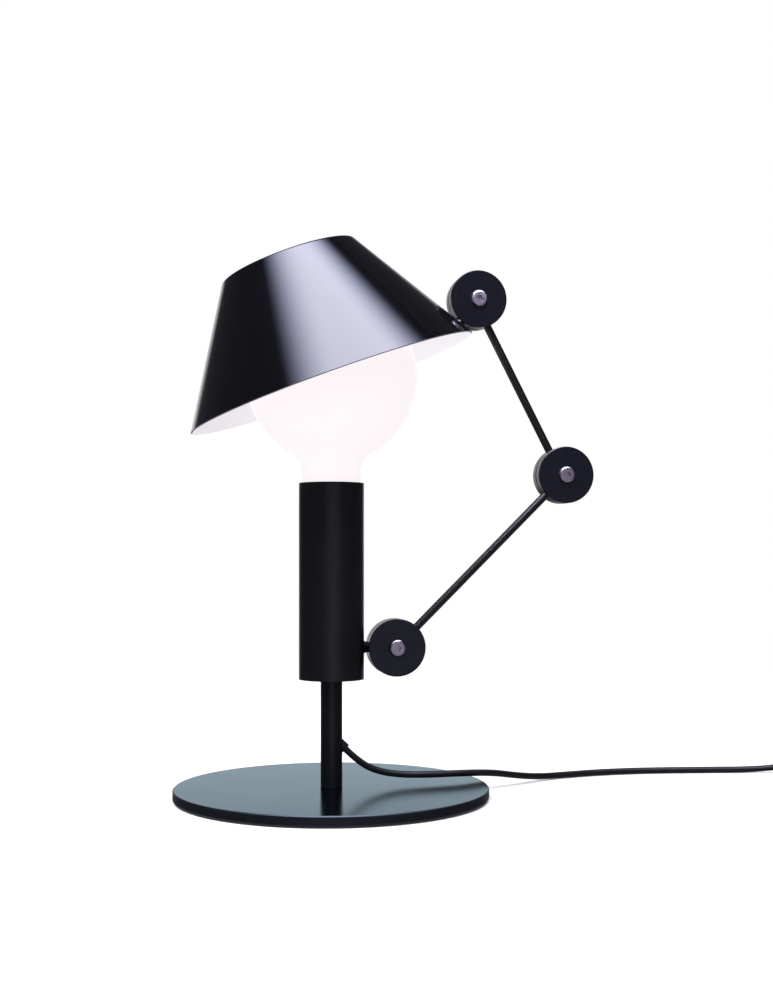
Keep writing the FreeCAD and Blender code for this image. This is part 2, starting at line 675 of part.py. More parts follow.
def build_pivot(joint):
    """The washer, shoulder screw and nut of one joint."""
    low = "-0.5 * washer_thickness"
    washer = across(cylinder(f"{joint}_ring", "washer_radius", "washer_thickness"), joint, low)
    bore = across(cylinder(f"{joint}_ring_bore", "pivot_radius + pivot_gap", "washer_thickness"), joint, low)
    part(cut(f"{joint}_ring_cut", washer, bore), f"{joint}_washer")
    top = "-disc_face - pivot_head_height"
    head = across(cylinder(f"{joint}_head", "pivot_head_radius", "pivot_head_height"), joint, top)
    middle = -size("disc_face") - 0.5 * size("pivot_head_height")
    domed = rounded(
        f"{joint}_dome", head, "socket_depth", lambda edge: is_circle(edge) and edge.Curve.Center.y < middle)
    shank = across(
        cylinder(f"{joint}_shank", "pivot_radius", "2 * disc_face - nut_sink"), joint, "-disc_face")
    socket = across(hexagon(f"{joint}_socket", "socket_radius", "socket_depth"), joint, top)
    screw = joined(f"{joint}_screw_blank", domed, shank)
    part(cut(f"{joint}_screw_cut", screw, socket), f"{joint}_pivot_screw")
    blank = across(hexagon(f"{joint}_nut_blank", "nut_corner", "pivot_nut_height"), joint, NUT_DEPTH)
    tapped = across(
        cylinder(f"{joint}_nut_bore", "pivot_radius + seat_gap", "pivot_nut_height"), joint, NUT_DEPTH)
    part(cut(f"{joint}_nut_cut", blank, tapped), f"{joint}_nut")


def build_stud(label, joint, angle, side, gap, wall):
    """The short tapered stud between a disc and the wall that it is fixed to."""
    overlap = "0.5 * stud_narrow"
    blank = radial(
        cone(f"{label}_blank", "stud_narrow", "stud_wide", f"{gap} + 2 * {overlap}"),
        joint, angle, f"disc_radius - {overlap}", side)
    disc = across(
        cylinder(f"{label}_disc", "disc_radius", "4 * disc_thickness"), joint, "-2 * disc_thickness")
    way = radial(
        cylinder(f"{label}_way", "fixing_radius + slip_gap", "2 * disc_radius"), joint, angle, "0", side)
    part(cut(f"{label}_cut", blank, disc, wall, way), label)


def build_fixing(label, joint, angle, side, seat):
    """A button screw from inside the wall, through the stud and into the disc's rim."""
    start = "disc_radius - fixing_grip"
    shank = radial(
        cylinder(f"{label}_shank", "fixing_radius", f"{seat} - ({start})"), joint, angle, start, side)
    head = radial(
        cylinder(f"{label}_head", "fixing_head_radius", "fixing_head_height"), joint, angle, seat, side)
    socket = radial(
        hexagon(f"{label}_socket", "fixing_socket_radius", "fixing_socket_depth"),
        joint, angle, f"{seat} + fixing_head_height - fixing_socket_depth", side)
    part(cut(f"{label}_cut", joined(f"{label}_blank", shank, head), socket), label)


def build_arm():
    build_disc("hip", "rear", 1, "180", FIXING)
    build_disc("hip", "front", -1, "lower_angle", ROD)
    build_disc("elbow", "front", -1, "lower_angle + 180", ROD)
    build_disc("elbow", "rear", 1, "upper_angle", ROD)
    build_disc("hand", "rear", 1, "upper_angle + 180", ROD)
    build_disc("hand", "front", -1, "normal + 180", FIXING)
    for joint in JOINTS:
        build_pivot(joint)
    lower = cylinder("lower_rod_bar", "rod_radius", "lower_arm - 2 * rod_stop")
    part(radial(lower, "hip", "lower_angle", "rod_stop", -1), "lower_rod")
    upper = cylinder("upper_rod_bar", "rod_radius", "upper_arm - 2 * rod_stop")
    part(radial(upper, "elbow", "upper_angle", "rod_stop", 1), "upper_rod")


def build_hip_fixing():
    side = 1
    tube = put(cylinder("hip_stud_tube", "tube_radius", "tube_length"), z="tube_bottom")
    build_stud("hip_stud", "hip", "180", side, "hip_gap", tube)
    seat = "disc_radius + hip_gap + tube_wall + saddle_thickness"
    build_fixing("hip_fixing_screw", "hip", "180", side, seat)
    inside = put(cylinder("saddle_tube", "tube_inside - seat_gap", "tube_length"), z="tube_bottom")
    blank = cylinder("saddle_blank", "saddle_radius", "saddle_thickness")
    seated = common("saddle_seat", radial(blank, "hip", "180", f"{seat} - saddle_thickness", side), inside)
    way = cylinder("saddle_way", "fixing_radius + slip_gap", "2 * disc_radius")
    part(cut("saddle_cut", seated, radial(way, "hip", "180", "disc_radius", side)), "hip_saddle")


# Shade: a spun cone, closed on top, hung on the front disc of the upper joint.
def on_shade(item):
    """Place an object on the shade's axis, its own Z from the rim's centre to the crown."""
    return lean(item, "90 + shade_tilt", x="shade_x", z="rim_z")


def build_shade():
    side = -1
    inward = "normal + 180"
    shell = on_shade(turned("shade_shell", [
        ("rim_radius - wall_level", "0"),
        ("rim_radius", "0"),
        ("crown_radius", "shade_height"),
        ("0", "shade_height"),
        ("0", "shade_height - shade_wall"),
        ("crown_radius - wall_level + shade_wall * tan(slant)", "shade_height - shade_wall"),
    ]))
    hole = cylinder("shade_hole", "fixing_radius + slip_gap", "disc_radius")
    part(cut("shade_cut", shell, radial(hole, "hand", inward, "wall_reach - shade_wall", side)), "shade")
    solid = on_shade(cone("stud_shade", "rim_radius", "crown_radius", "shade_height"))
    build_stud("shade_stud", "hand", inward, side, "hand_gap", solid)
    build_fixing("shade_fixing_screw", "hand", inward, side, "wall_reach + shade_wall + wall_curve")


# Cords: tubes along straight runs joined by tangent arcs, and one coil of two spiral layers.
def rounded_path(points, label):
    """Straight runs joined by arcs as large as the runs allow."""
    edges = []
    radii = []
    start = points[0]
    for before, corner, after in zip(points, points[1:], points[2:]):
        arrive = (corner - before).normalize()
        leave = (after - corner).normalize()
        reach = ARC_SHARE * min((corner - before).Length, (after - corner).Length)
        half_turn = 0.5 * arrive.getAngle(leave)
        radius = reach / math.tan(half_turn)
        arc_start = corner - arrive * reach
        arc_end = corner + leave * reach
        inward = (leave - arrive).normalize()
        middle = corner + inward * (radius / math.cos(half_turn) - radius)
        edges.append(Part.makeLine(start, arc_start))
        edges.append(Part.Arc(arc_start, middle, arc_end).toShape())
        radii.append(round(radius, 1))
        start = arc_end
    edges.append(Part.makeLine(start, points[-1]))
    wire = Part.Wire(edges)
    print(f"{label}: length {wire.Length:.1f} mm, radii {radii} mm")
    return wire


def sweep(label, wire):
    """A round cord along a wire."""
    radius = size("cord_radius")
    first = wire.Edges[0]
    tangent = first.tangentAt(first.FirstParameter)
    ring = Part.Wire(Part.makeCircle(radius, first.valueAt(first.FirstParameter), tangent))
    solid = wire.makePipeShell([ring], True, False)
    ideal = math.pi * radius ** 2 * wire.Length
    print(f"{label}: volume {solid.Volume:.0f}, section times length {ideal:.0f} mm3")
    feature = doc.addObject("Part::Feature", f"{label}_tube")
    feature.Shape = solid
    feature.Placement = Placement()
    part(feature, label)
    return wire.Length


def switch_end(sign):
    """Where the cord meets the switch, at either end."""
    turn = math.radians(size("switch_turn"))
    half = 0.5 * size("switch_length") * sign
    middle = Vector(size("switch_x"), size("switch_y"), size("switch_low"))
    return middle + Vector(half * math.cos(turn), half * math.sin(turn), 0)


def coil_levels():
    """Heights of the two layers of the coil."""
    low = size("tie_thickness") + size("tie_rest") + size("cord_radius")
    return low, low + 2 * size("cord_radius") + size("turn_gap")


def coil_radii():
    """Outermost and innermost radius of the spiral."""
    half_width = 0.5 * size("coil_turns") * (2 * size("cord_radius") + size("turn_gap"))
    return size("coil_middle") + half_width, size("coil_middle") - half_width


def coil_point(turns):
    """A point of the coil after so many turns: inwards on the lower layer, then outwards above it."""
    layer = size("coil_turns")
    pitch = 2 * size("cord_radius") + size("turn_gap")
    low, high = coil_levels()
    outer, inner = coil_radii()
    radius = inner + pitch * abs(turns - layer)
    climb = min(max(2 * (turns - layer) + 0.5, 0), 1)
    height = low + (high - low) * 0.5 * (1 - math.cos(math.pi * climb))
    angle = -2 * math.pi * turns
    return Vector(
        size("coil_x") - outer + radius * math.cos(angle), size("coil_y") + radius * math.sin(angle), height)


def coil_tangent(turns):
    """The coil's direction, with the spiral's kinks at its ends and at its reversal levelled out."""
    return (coil_point(turns + TANGENT_STEP) - coil_point(turns - TANGENT_STEP)).normalize()


def biarc(start, start_tangent, end, end_tangent):
    """Two arcs that leave and arrive along given directions."""
    chord = end - start
    both = start_tangent + end_tangent
    straightness = 2 * (start_tangent.dot(end_tangent) - 1)
    slope = -2 * chord.dot(both)
    reach = (-slope - math.sqrt(slope ** 2 - 4 * straightness * chord.dot(chord))) / (2 * straightness)
    first = start + start_tangent * reach
    last = end - end_tangent * reach
    joint = (first + last) * 0.5
    return [arc_within(start, first, joint), arc_within(joint, last, end)]


def arc_within(start, corner, end):
    """The arc that touches both legs of a corner at their ends."""
    middle = (start + end) * 0.5
    weight = (end - start).Length / (2 * (corner - start).Length)
    return Part.Arc(start, middle + (corner - middle) * (weight / (1 + weight)), end).toShape()


def coil_wire():
    quarters = int(8 * size("coil_turns"))
    edges = []
    for quarter in range(quarters):
        edges += biarc(
            coil_point(quarter / 4), coil_tangent(quarter / 4),
            coil_point((quarter + 1) / 4), coil_tangent((quarter + 1) / 4))
    return Part.Wire(edges)


def least_gap(wire):
    """The least clear distance between one turn and another, measured on points."""
    points = []
    travelled = []
    so_far = 0
    for edge in wire.Edges:
        for share in range(8):
            points.append(edge.valueAt(edge.getParameterByLength(edge.Length * share / 8)))
            travelled.append(so_far + edge.Length * share / 8)
        so_far += edge.Length
    half_turn = math.pi * size("coil_middle") / 2
    gaps = [
        (points[i] - points[j]).Length
        for i in range(len(points)) for j in range(i) if travelled[i] - travelled[j] > half_turn
    ]
    return min(gaps) - 2 * size("cord_radius")


def build_cords():
    drop = math.radians(size("exit_drop"))
    reach = size("grommet_reach")
    pole = size("pole_radius")
    mouth = Vector(pole + reach * math.cos(drop), 0, size("exit_height") - reach * math.sin(drop))
    turn_up = Vector(0, 0, size("exit_height") + pole * math.tan(drop))
    inside = Vector(0, 0, size("holder_bottom") + size("holder_floor"))
    sweep("cord_inner", rounded_path([mouth, turn_up, inside], "cord_inner"))
    coil = coil_wire()
    plug = Vector(size("plug_x"), size("plug_y"), 0.5 * size("plug_thickness"))
    lead = [mouth, *(Vector(*point) for point in LEAD_POINTS), switch_end(-1)]
    tail = [switch_end(1), *(Vector(*point) for point in TAIL_POINTS), coil_point(0)]
    end = [coil_point(2 * size("coil_turns")), *(Vector(*point) for point in END_POINTS), plug]
    total = size("switch_length")
    total += sweep("cord_lead", rounded_path(lead, "cord_lead"))
    total += sweep("cord_tail", rounded_path(tail, "cord_tail"))
    total += sweep("cord_coil", coil)
    total += sweep("cord_end", rounded_path(end, "cord_end"))
    print(f"free cord: {total:.0f} mm, least gap between turns {least_gap(coil):.2f} mm")


def build_tie():
    """A soft band around the coil, on the side away from the lead."""
    outer, inner = coil_radii()
    low, high = coil_levels()
    room = size("cord_radius") + size("tie_gap")
    thickness = size("tie_thickness")
    centre_x = size("coil_x") - outer
    width = size("tie_width")

    def loop(extra, bottom, top, breadth):
        low_x = centre_x - outer - room - extra
        high_x = centre_x - inner + room + extra
        corner = Vector(low_x, size("coil_y") - 0.5 * breadth, bottom)
        return Part.makeBox(high_x - low_x, breadth, top - bottom, corner)

    outside = loop(thickness, 0, high + room + thickness, width)
    level = [edge for edge in outside.Edges if edge.BoundBox.YLength > 0.9 * width]
    outside = outside.makeFillet(size("tie_round"), level)
    band = doc.addObject("Part::Feature", "tie")
    band.Shape = outside.cut(loop(0, thickness, high + room, 2 * width))
    band.Placement = Placement()
    part(band, "coil_tie")


# Switch: two screwed halves around the cord, with a rocker on a pin.
SWITCH_ENDS = (("near", "-1"), ("far", "1"))


def on_switch(item):
    """Turn a finished piece, modelled about the table's origin, to where the switch lies."""
    item.Placement = Placement(Vector(0, 0, 0), Rotation(Vector(0, 0, 1), 1))
    for axis, text in (("x", "switch_x"), ("y", "switch_y")):
        item.setExpression(f"Placement.Base.{axis}", formula(text))
    item.setExpression("Placement.Rotation.Angle", formula("switch_turn"))
    return item


def centred_box(name, length, width, low, high):
    block = box(name, length, width, f"({high}) - ({low})")
    return put(block, f"-0.5 * ({length})", f"-0.5 * ({width})", low)


def at_screws(name, radius, low, height):
    """Two upright cylinders where the switch halves are screwed together."""
    return [
        put(
            cylinder(f"{name}_{end}", radius, height),
            f"{sign} * switch_screw_spread", f"{sign} * switch_screw_side", low)
        for end, sign in SWITCH_ENDS
    ]


def housing(label, low, high, cavity_low, cavity_high):
    """One half of the housing: rounded upright edges, hollow, with two screw bosses."""
    block = centred_box(f"{label}_block", "switch_length", "switch_width", low, high)
    shell = rounded(f"{label}_rounded", block, "switch_round", is_upright)
    hollow = centred_box(
        f"{label}_hollow", "switch_length - 4 * switch_wall", "switch_width - 2 * switch_wall",
        cavity_low, cavity_high)
    bosses = at_screws(f"{label}_boss", "2 * switch_screw_radius", low, f"({high}) - ({low})")
    way = cylinder(f"{label}_way", "cord_radius + cord_gap", "switch_length")
    through = put(way, "-0.5 * switch_length", "0", "switch_low", ALONG_X)
    return cut(f"{label}_open", shell, cut(f"{label}_room", hollow, *bosses), through)


def build_switch():
    bottom = housing("bottom", "0", "switch_low", "switch_wall", "switch_low")
    sunk = at_screws("bottom_sunk", "switch_screw_head + slip_gap", "0", "0.5 * switch_wall")
    through = at_screws("bottom_hole", "switch_screw_radius + slip_gap", "0", "switch_low")
    part(on_switch(cut("bottom_cut", bottom, *sunk, *through)), "switch_bottom")
    top = housing("top", "switch_low", "switch_top", "switch_low", "switch_top - switch_wall")
    tapped = at_screws("top_hole", "switch_screw_radius + seat_gap", "switch_low", "switch_screw_grip")
    lugs = centred_box(
        "lugs", "lug_length", "lug_width", "pin_height - lug_drop", "switch_top - 0.5 * switch_wall")
    opening = centred_box(
        "opening", "rocker_length + 2 * rocker_gap", "rocker_width + 2 * rocker_gap",
        "switch_low", "switch_top")
    pin_start = ("0", "-0.5 * lug_width", "pin_height", ALONG_Y)
    pin_way = put(cylinder("pin_way", "pin_radius + seat_gap", "lug_width"), *pin_start)
    upper = cut("top_cut", joined("top_lugs", top, lugs), opening, pin_way, *tapped)
    part(on_switch(upper), "switch_top")
    pin = put(cylinder("pin", "pin_radius", "lug_width"), *pin_start)
    part(on_switch(grouped("pin_only", pin)), "rocker_pin")
    heads = at_screws("screw_head", "switch_screw_head", "0", "0.5 * switch_wall")
    shanks = at_screws(
        "screw_shank", "switch_screw_radius", "0.5 * switch_wall",
        "switch_low + 0.5 * switch_high - 0.5 * switch_wall")
    screws = [joined(f"switch_screw_{number}", *pair) for number, pair in enumerate(zip(heads, shanks))]
    part(on_switch(grouped("switch_screw_pair", *screws)), "switch_screws")
    contacts = [
        put(
            box(f"contact_{name}", "contact_length", "contact_width", "contact_height"),
            f"{sign} * contact_spread - 0.5 * contact_length", "-0.5 * contact_width", "switch_wall")
        for name, sign in SWITCH_ENDS
    ]
    part(on_switch(grouped("contact_pair", *contacts)), "switch_contacts")
    build_rocker()


def build_rocker():
    """The rocker, hollowed on top, at rest with one end down."""
    low = "pin_height - rocker_below"
    high = f"{low} + rocker_height"
    block = centred_box("rocker_block", "rocker_length", "rocker_width", low, high)
    breadth = "2 * rocker_width"
    hollow = put(
        cylinder("rocker_dish", "dish_radius", breadth),
        "0", "-1 * rocker_width", f"{high} + dish_radius - dish_depth", ALONG_Y)
    bore = put(
        cylinder("rocker_bore", "pin_radius + pivot_gap", breadth),
        "0", "-1 * rocker_width", "pin_height", ALONG_Y)
    level = cut("rocker_level", block, hollow, bore)
    level.Placement = Placement(Vector(0, 0, 0), Rotation(Vector(0, 1, 0), 1))
    level.setExpression("Placement.Rotation.Angle", formula("-rocker_tilt"))
    level.setExpression("Placement.Base.x", formula("pin_height * sin(rocker_tilt)"))
    level.setExpression("Placement.Base.z", formula("pin_height * (1 - cos(rocker_tilt))"))
    part(on_switch(grouped("rocker_placed", level)), "switch_rocker")


# Plug: a flat two-pin plug lying on the table, its pins in insulating sleeves up to their bare ends.
def on_plug(item):
    """Turn a finished piece, modelled along +X from the cord's entry, to where the plug lies."""
    item.Placement = Placement(Vector(0, 0, 0), Rotation(Vector(0, 0, 1), 1))
    for axis, text in (("x", "plug_x"), ("y", "plug_y"), ("z", "0.5 * plug_thickness")):
        item.setExpression(f"Placement.Base.{axis}", formula(text))
    item.setExpression("Placement.Rotation.Angle", formula("plug_turn"))
    return item


def at_pins(name, radius, start, length):
    """Two level cylinders where the pins are, from so far along the plug."""
    return [
        put(
            cylinder(f"{name}_{side}", radius, length),
            start, f"{sign} * 0.5 * plug_pin_spacing", "0", ALONG_X)
        for side, sign in (("left", 1), ("right", -1))
    ]


def build_plug():
    relief = put(cone("relief", "relief_tip", "relief_root", "plug_relief"), turn=ALONG_X)
    block = put(
        box("plug_block", "plug_length", "plug_width", "plug_thickness"),
        "plug_relief", "-0.5 * plug_width", "-0.5 * plug_thickness")
    bevelled = rounded("plug_bevelled", block, "plug_bevel", is_level_along_x, "Part::Chamfer")
    root = "plug_relief + plug_length - plug_pin_grip"
    sleeves = at_pins("pin_sleeve", "pin_sleeve_radius", root, "plug_pin_grip + pin_sleeve_length")
    holes = at_pins("pin_hole", "pin_core_radius + seat_gap", root, "plug_pin_grip + plug_pin_length")
    part(on_plug(cut("plug_cut", joined("plug_blank", relief, bevelled, *sleeves), *holes)), "plug_body")
    cores_of_pins = at_pins(
        "pin_core", "pin_core_radius", root, "plug_pin_grip + plug_pin_length - plug_pin_round")
    ends = at_pins("pin_end", "plug_pin_radius", "pin_bare", "plug_end - pin_bare")
    middle = 0.5 * (size("pin_bare") + size("plug_end"))
    tips = [
        rounded(
            f"{end.Name}_tip", end, "plug_pin_round",
            lambda edge: is_circle(edge) and edge.Curve.Center.x > middle)
        for end in ends
    ]
    pins = [joined(f"plug_pin_{number}", *pair) for number, pair in enumerate(zip(cores_of_pins, tips))]
    part(on_plug(grouped("plug_pin_pair", *pins)), "plug_pins")


def write_parts():
    """Recompute, check every object and write each sub-part."""
    doc.recompute()
    broken = [item.Name for item in doc.Objects if {"Invalid", "Error"} & set(item.State)]
    if broken:
        raise RuntimeError(f"failed objects: {broken}")
    os.makedirs("parts", exist_ok=True)
    for item in sub_parts:
        shape = item.Shape
        if shape.isNull() or not shape.isValid() or not shape.Solids:
            raise RuntimeError(f"{item.Label} has no valid solid")
        shape.exportStep(f"parts/{item.Label}.step")
    print(f"{len(sub_parts)} sub-parts written")


build_base()
build_pole()
build_body()
build_holder()
build_bulb()
build_arm()
build_hip_fixing()
build_shade()
build_cords()
build_tie()
build_switch()
build_plug()
write_parts()
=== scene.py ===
"""Looks of the desk lamp: shade, cords, plug, tie and wires, the finish of every part, and a plain studio.

Frame: metres, +Z up. The origin is the centre of the base's underside, the arm moves in the XZ plane
and the viewer stands on the -Y side. Each piece has an operator and its sizes in the 3D view's sidebar.
"""
import json
import math

import bpy
from bpy.props import FloatProperty, FloatVectorProperty, IntProperty, PointerProperty
from mathutils import Matrix, Vector


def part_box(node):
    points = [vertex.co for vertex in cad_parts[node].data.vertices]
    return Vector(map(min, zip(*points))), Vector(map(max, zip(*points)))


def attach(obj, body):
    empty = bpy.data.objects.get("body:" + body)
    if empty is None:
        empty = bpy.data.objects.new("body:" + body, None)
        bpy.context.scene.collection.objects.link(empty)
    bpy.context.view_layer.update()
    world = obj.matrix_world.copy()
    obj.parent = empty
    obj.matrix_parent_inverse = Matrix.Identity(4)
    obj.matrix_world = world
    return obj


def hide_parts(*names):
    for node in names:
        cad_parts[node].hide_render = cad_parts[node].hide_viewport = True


bl_info = {
    "name": "Desk lamp looks",
    "version": (1, 0, 0),
    "blender": (4, 5, 0),
    "location": "3D View > Sidebar > Desk lamp",
    "description": "Builds the visible pieces of a desk lamp over its packed solids",
    "category": "Object",
}

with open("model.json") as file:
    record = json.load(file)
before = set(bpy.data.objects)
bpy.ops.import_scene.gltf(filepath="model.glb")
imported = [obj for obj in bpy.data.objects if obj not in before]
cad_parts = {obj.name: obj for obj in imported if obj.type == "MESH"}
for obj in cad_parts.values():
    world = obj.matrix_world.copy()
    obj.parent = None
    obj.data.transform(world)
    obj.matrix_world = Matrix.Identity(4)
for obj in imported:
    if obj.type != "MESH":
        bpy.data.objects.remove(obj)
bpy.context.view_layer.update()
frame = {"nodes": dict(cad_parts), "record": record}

# Two points closer than this are one, in metres.
WELD = 1e-6
# Edges sharper than this stay sharp when a piece is shaded smooth.
SMOOTH_ANGLE = math.radians(30)

# How finely a cord is rounded, and how finely its spline is stepped.
CORD_ROUNDNESS = 5
CORD_STEPS = 8
# Where the inner cord leaves its straight runs: shares of the way to its turn, and from there to the holder.
BEND_START = 0.6
BEND_END = 0.1
# The part of a turn in which the coil climbs to its upper layer.
CLIMB = 0.5
# The plug's grip grooves are stepped in and sunk by these shares of a rib's width.
GRIP_STEP = 0.25
GRIP_DEPTH = 0.3
# Along the strain relief, in pitches: its plain length besides the grooves, where the first groove begins,
# and each groove's width.
RELIEF_ENDS = 1.5
RELIEF_START = 1.1
RELIEF_GROOVE = 0.5
# A face looks along an axis when its normal has more than this of it.
FACING = 0.9
# Turns a piece from standing along Z to lying along X.
LAY = Matrix.Rotation(math.radians(90), 4, "Y")

# A noise texture's values between these spread over a finish's whole range.
NOISE_RANGE = (0.3, 0.7)
# The patches of different shine, against the scale of the grain.
PATCH_SCALE = 0.03
# How far inside the plate's rim its edge's paint begins and is full, in metres, and its roughness.
PLATE_EDGE = (0.0010, 0.0006)
PLATE_EDGE_ROUGHNESS = 0.42
# Painted shade in the pivot heads' sockets: how far behind the heads' faces it begins and is full, in metres.
SOCKET_SHADE_LIP = (0.0002, 0.0005)
# How far from the arm's middle plane the painted socket shade begins and is full, in metres.
SOCKET_SHADE_ROOT = (0.0097, 0.0099)
# How dark the painted socket shade makes the screws' own colour.
SOCKET_SHADE_TONE = 0.22

# The reflected panel fades in between the first and second value, on its own axes from -1 to 1.
PANEL_FADES = {
    "left": (-0.98, -0.09),
    "right": (1.0, 0.7),
    "far": (0.84, 0.23),
    "near": (-1.0, -0.7),
}
PANEL_DIM = (0.60, 0.66, 0.97)
PANEL_BRIGHT = (0.82, 0.81, 1.0)

# Each light's name, place, side in metres and power in watts. All of them face the point that follows.
LIGHTS = (
    ("overhead_light", (-0.5, -0.6, 2.3), 2.2, 75),
    ("front_light", (-0.9, -2.2, 1.0), 1.6, 22),
)
LIT_POINT = Vector((0, 0, 0.15))

# The room that shiny surfaces mirror. Each pair is where a light begins and where it's full, as the
# part of a direction that points back, up or to the right.
WALL_BACK = (0.35, 0.9)
WALL_BOTTOM = (-0.24, -0.08)
WALL_TOP = (0.50, 0.28)
WALL_MIDDLE = 0.12
WALL_SIDES = (0.52, 0.36)
WALL_LOWER = (0.21, 0.14)
WALL_HIGH_LIGHT = (0.84, 0.84, 0.84)
WALL_LOW_LIGHT = (1.02, 1.02, 1.02)
FRONT = (-0.86, -1.0)
FRONT_LOWER = (0.07, -0.06)
FRONT_HIGH_LIGHT = (0.24, 0.24, 0.31)
FRONT_LOW_LIGHT = (0.38, 0.38, 0.49)
GROUND = (-0.2, -0.55)
GROUND_LIGHT = (0.30, 0.30, 0.33)
ROOM_LIGHT = (0.055, 0.055, 0.07)
# What matt surfaces and the camera see instead of the room.
MATT_LIGHT = (0.85, 0.85, 0.86)
BACKGROUND = (1, 1, 1)

# The free cord's control points, in metres, from the grommet to the switch.
LEAD_POINTS = [
    (0.0200, 0.0000, 0.0238),
    (0.0330, 0.0010, 0.0174),
    (0.0490, 0.0025, 0.0144),
    (0.0700, 0.0040, 0.0136),
    (0.0950, 0.0085, 0.0134),
    (0.1190, 0.0170, 0.0119),
    (0.1410, 0.0310, 0.0069),
    (0.1630, 0.0460, 0.0031),
    (0.1880, 0.0565, 0.0025),
    (0.2180, 0.0635, 0.0026),
    (0.2550, 0.0660, 0.0025),
    (0.3020, 0.0615, 0.0025),
    (0.3380, 0.0562, 0.0028),
    (0.3600, 0.0524, 0.0052),
]
# From the switch to the coil.
TAIL_POINTS = [
    (0.4524, 0.0374, 0.0066),
    (0.4670, 0.0270, 0.0046),
    (0.4752, 0.0110, 0.0037),
    (0.4756, -0.0070, 0.0034),
]
# From the coil's upper layer down to the plug.
END_POINTS = [
    (0.4756, -0.0400, 0.0087),
    (0.4732, -0.0580, 0.0057),
    (0.4635, -0.0750, 0.0033),
    (0.4470, -0.0858, 0.0042),
    (0.4329, -0.0882, 0.0070),
]


def length(name, default, description):
    return FloatProperty(name=name, description=description, default=default, unit="LENGTH", precision=5)


def angle(name, default, description):
    return FloatProperty(name=name, description=description, default=math.radians(default), unit="ROTATION")


def place(name, default, description):
    return FloatVectorProperty(
        name=name, description=description, default=default, size=3, unit="LENGTH", precision=5)


def colour(name, default, description):
    return FloatVectorProperty(
        name=name, description=description, default=default, size=3, subtype="COLOR", min=0, max=1)


class CordSettings(bpy.types.PropertyGroup):
    radius: length("Radius", 0.0024, "Radius of the round sheath")
    real_length: length("Length", 1.729, "The free cord, from the grommet to the plug")
    mouth: place("Grommet's mouth", (0.009614, 0, 0.033855), "Where the cord leaves the pole")
    switch_front: place("Switch, lamp side", (0.37738, 0.04945, 0.0075), "Where the cord enters the switch")
    switch_back: place("Switch, plug side", (0.43862, 0.03975, 0.0075), "Where the cord leaves the switch")
    coil_centre: place("Coil's centre", (0.43825, -0.024, 0), "Middle of the turns")
    coil_inner: length("Innermost turn", 0.02105, "Radius of the innermost turn")
    coil_pitch: length("Pitch", 0.0053, "From one turn to the next, sideways and upwards")
    coil_low: length("Lower layer", 0.0034, "Height of the lower turns")
    coil_turns: IntProperty(name="Turns", description="Turns in each of the two layers", default=3, min=1)
    turn_points: IntProperty(
        name="Points per turn", description="Control points in each turn", default=16, min=12)
    core_radius: length("Core", 0.0008, "Radius of an insulated core inside the holder")
    core_spread: length("Between cores", 0.0042, "Between the two cores inside the holder")
    turn_up: length("Turn inside the pole", 0.0431, "Height where the cord meets the pole's axis")


class ShadeSettings(bpy.types.PropertyGroup):
    rim: length("Rim radius", 0.104, "The open end, outside")
    crown: length("Crown radius", 0.0483, "The closed top, outside")
    height: length("Height", 0.09, "Along the shade's axis")
    wall: length("Wall", 0.001, "Thickness of the spun sheet")
    crown_edge: length("Crown edge", 0.0016, "Rounding between the wall and the top")
    tilt: angle("Tilt", 20, "The axis leans this far towards -X")
    centre: place("Rim's centre", (0.0003, 0, 0.2891), "Middle of the open end")
    sides: IntProperty(name="Sides", description="Steps round the shade", default=144, min=48)


class PlugSettings(bpy.types.PropertyGroup):
    entry: place("Cord entry", (0.42, -0.0896, 0.007), "Where the cord enters the plug")
    heading: angle("Heading", 186, "Direction of the pins, from +X")
    relief: length("Tapered end", 0.016, "Length of the strain relief")
    relief_tip: length("Tip radius", 0.0036, "The strain relief at the cord")
    relief_root: length("Root radius", 0.0059, "The strain relief at the body")
    body: length("Body length", 0.035, "Along the pins")
    width: length("Body width", 0.026, "Across the pins")
    thickness: length("Body thickness", 0.014, "Height on the table")
    corner: length("Edge rounding", 0.0032, "Rounding of the body's long edges")
    sleeve: length("Sleeves", 0.01, "Insulated part of each pin")
    sleeve_radius: length("Sleeve radius", 0.0018, "Insulated part of each pin")
    spacing: length("Pin spacing", 0.019, "Pins, centre to centre")
    ribs: IntProperty(name="Grip ribs", description="Ribs on each flat side", default=5, min=1)
    relief_grooves: IntProperty(
        name="Relief grooves", description="Grooves round the strain relief", default=4, min=1)
    groove: length("Groove depth", 0.0007, "Grooves round the strain relief")
    edge: length("Small edge", 0.0003, "Bevel of the grooves and of the sleeves' ends")
    steps: IntProperty(name="Steps", description="Steps round the relief and the sleeves", default=48, min=16)


class TieSettings(bpy.types.PropertyGroup):
    strap: length("Strap", 0.0009, "Thickness of the strap")
    corner: length("Corner", 0.0022, "Rounding where the strap turns")
    edge: length("Edge", 0.0002, "Rounding of the strap's edges")


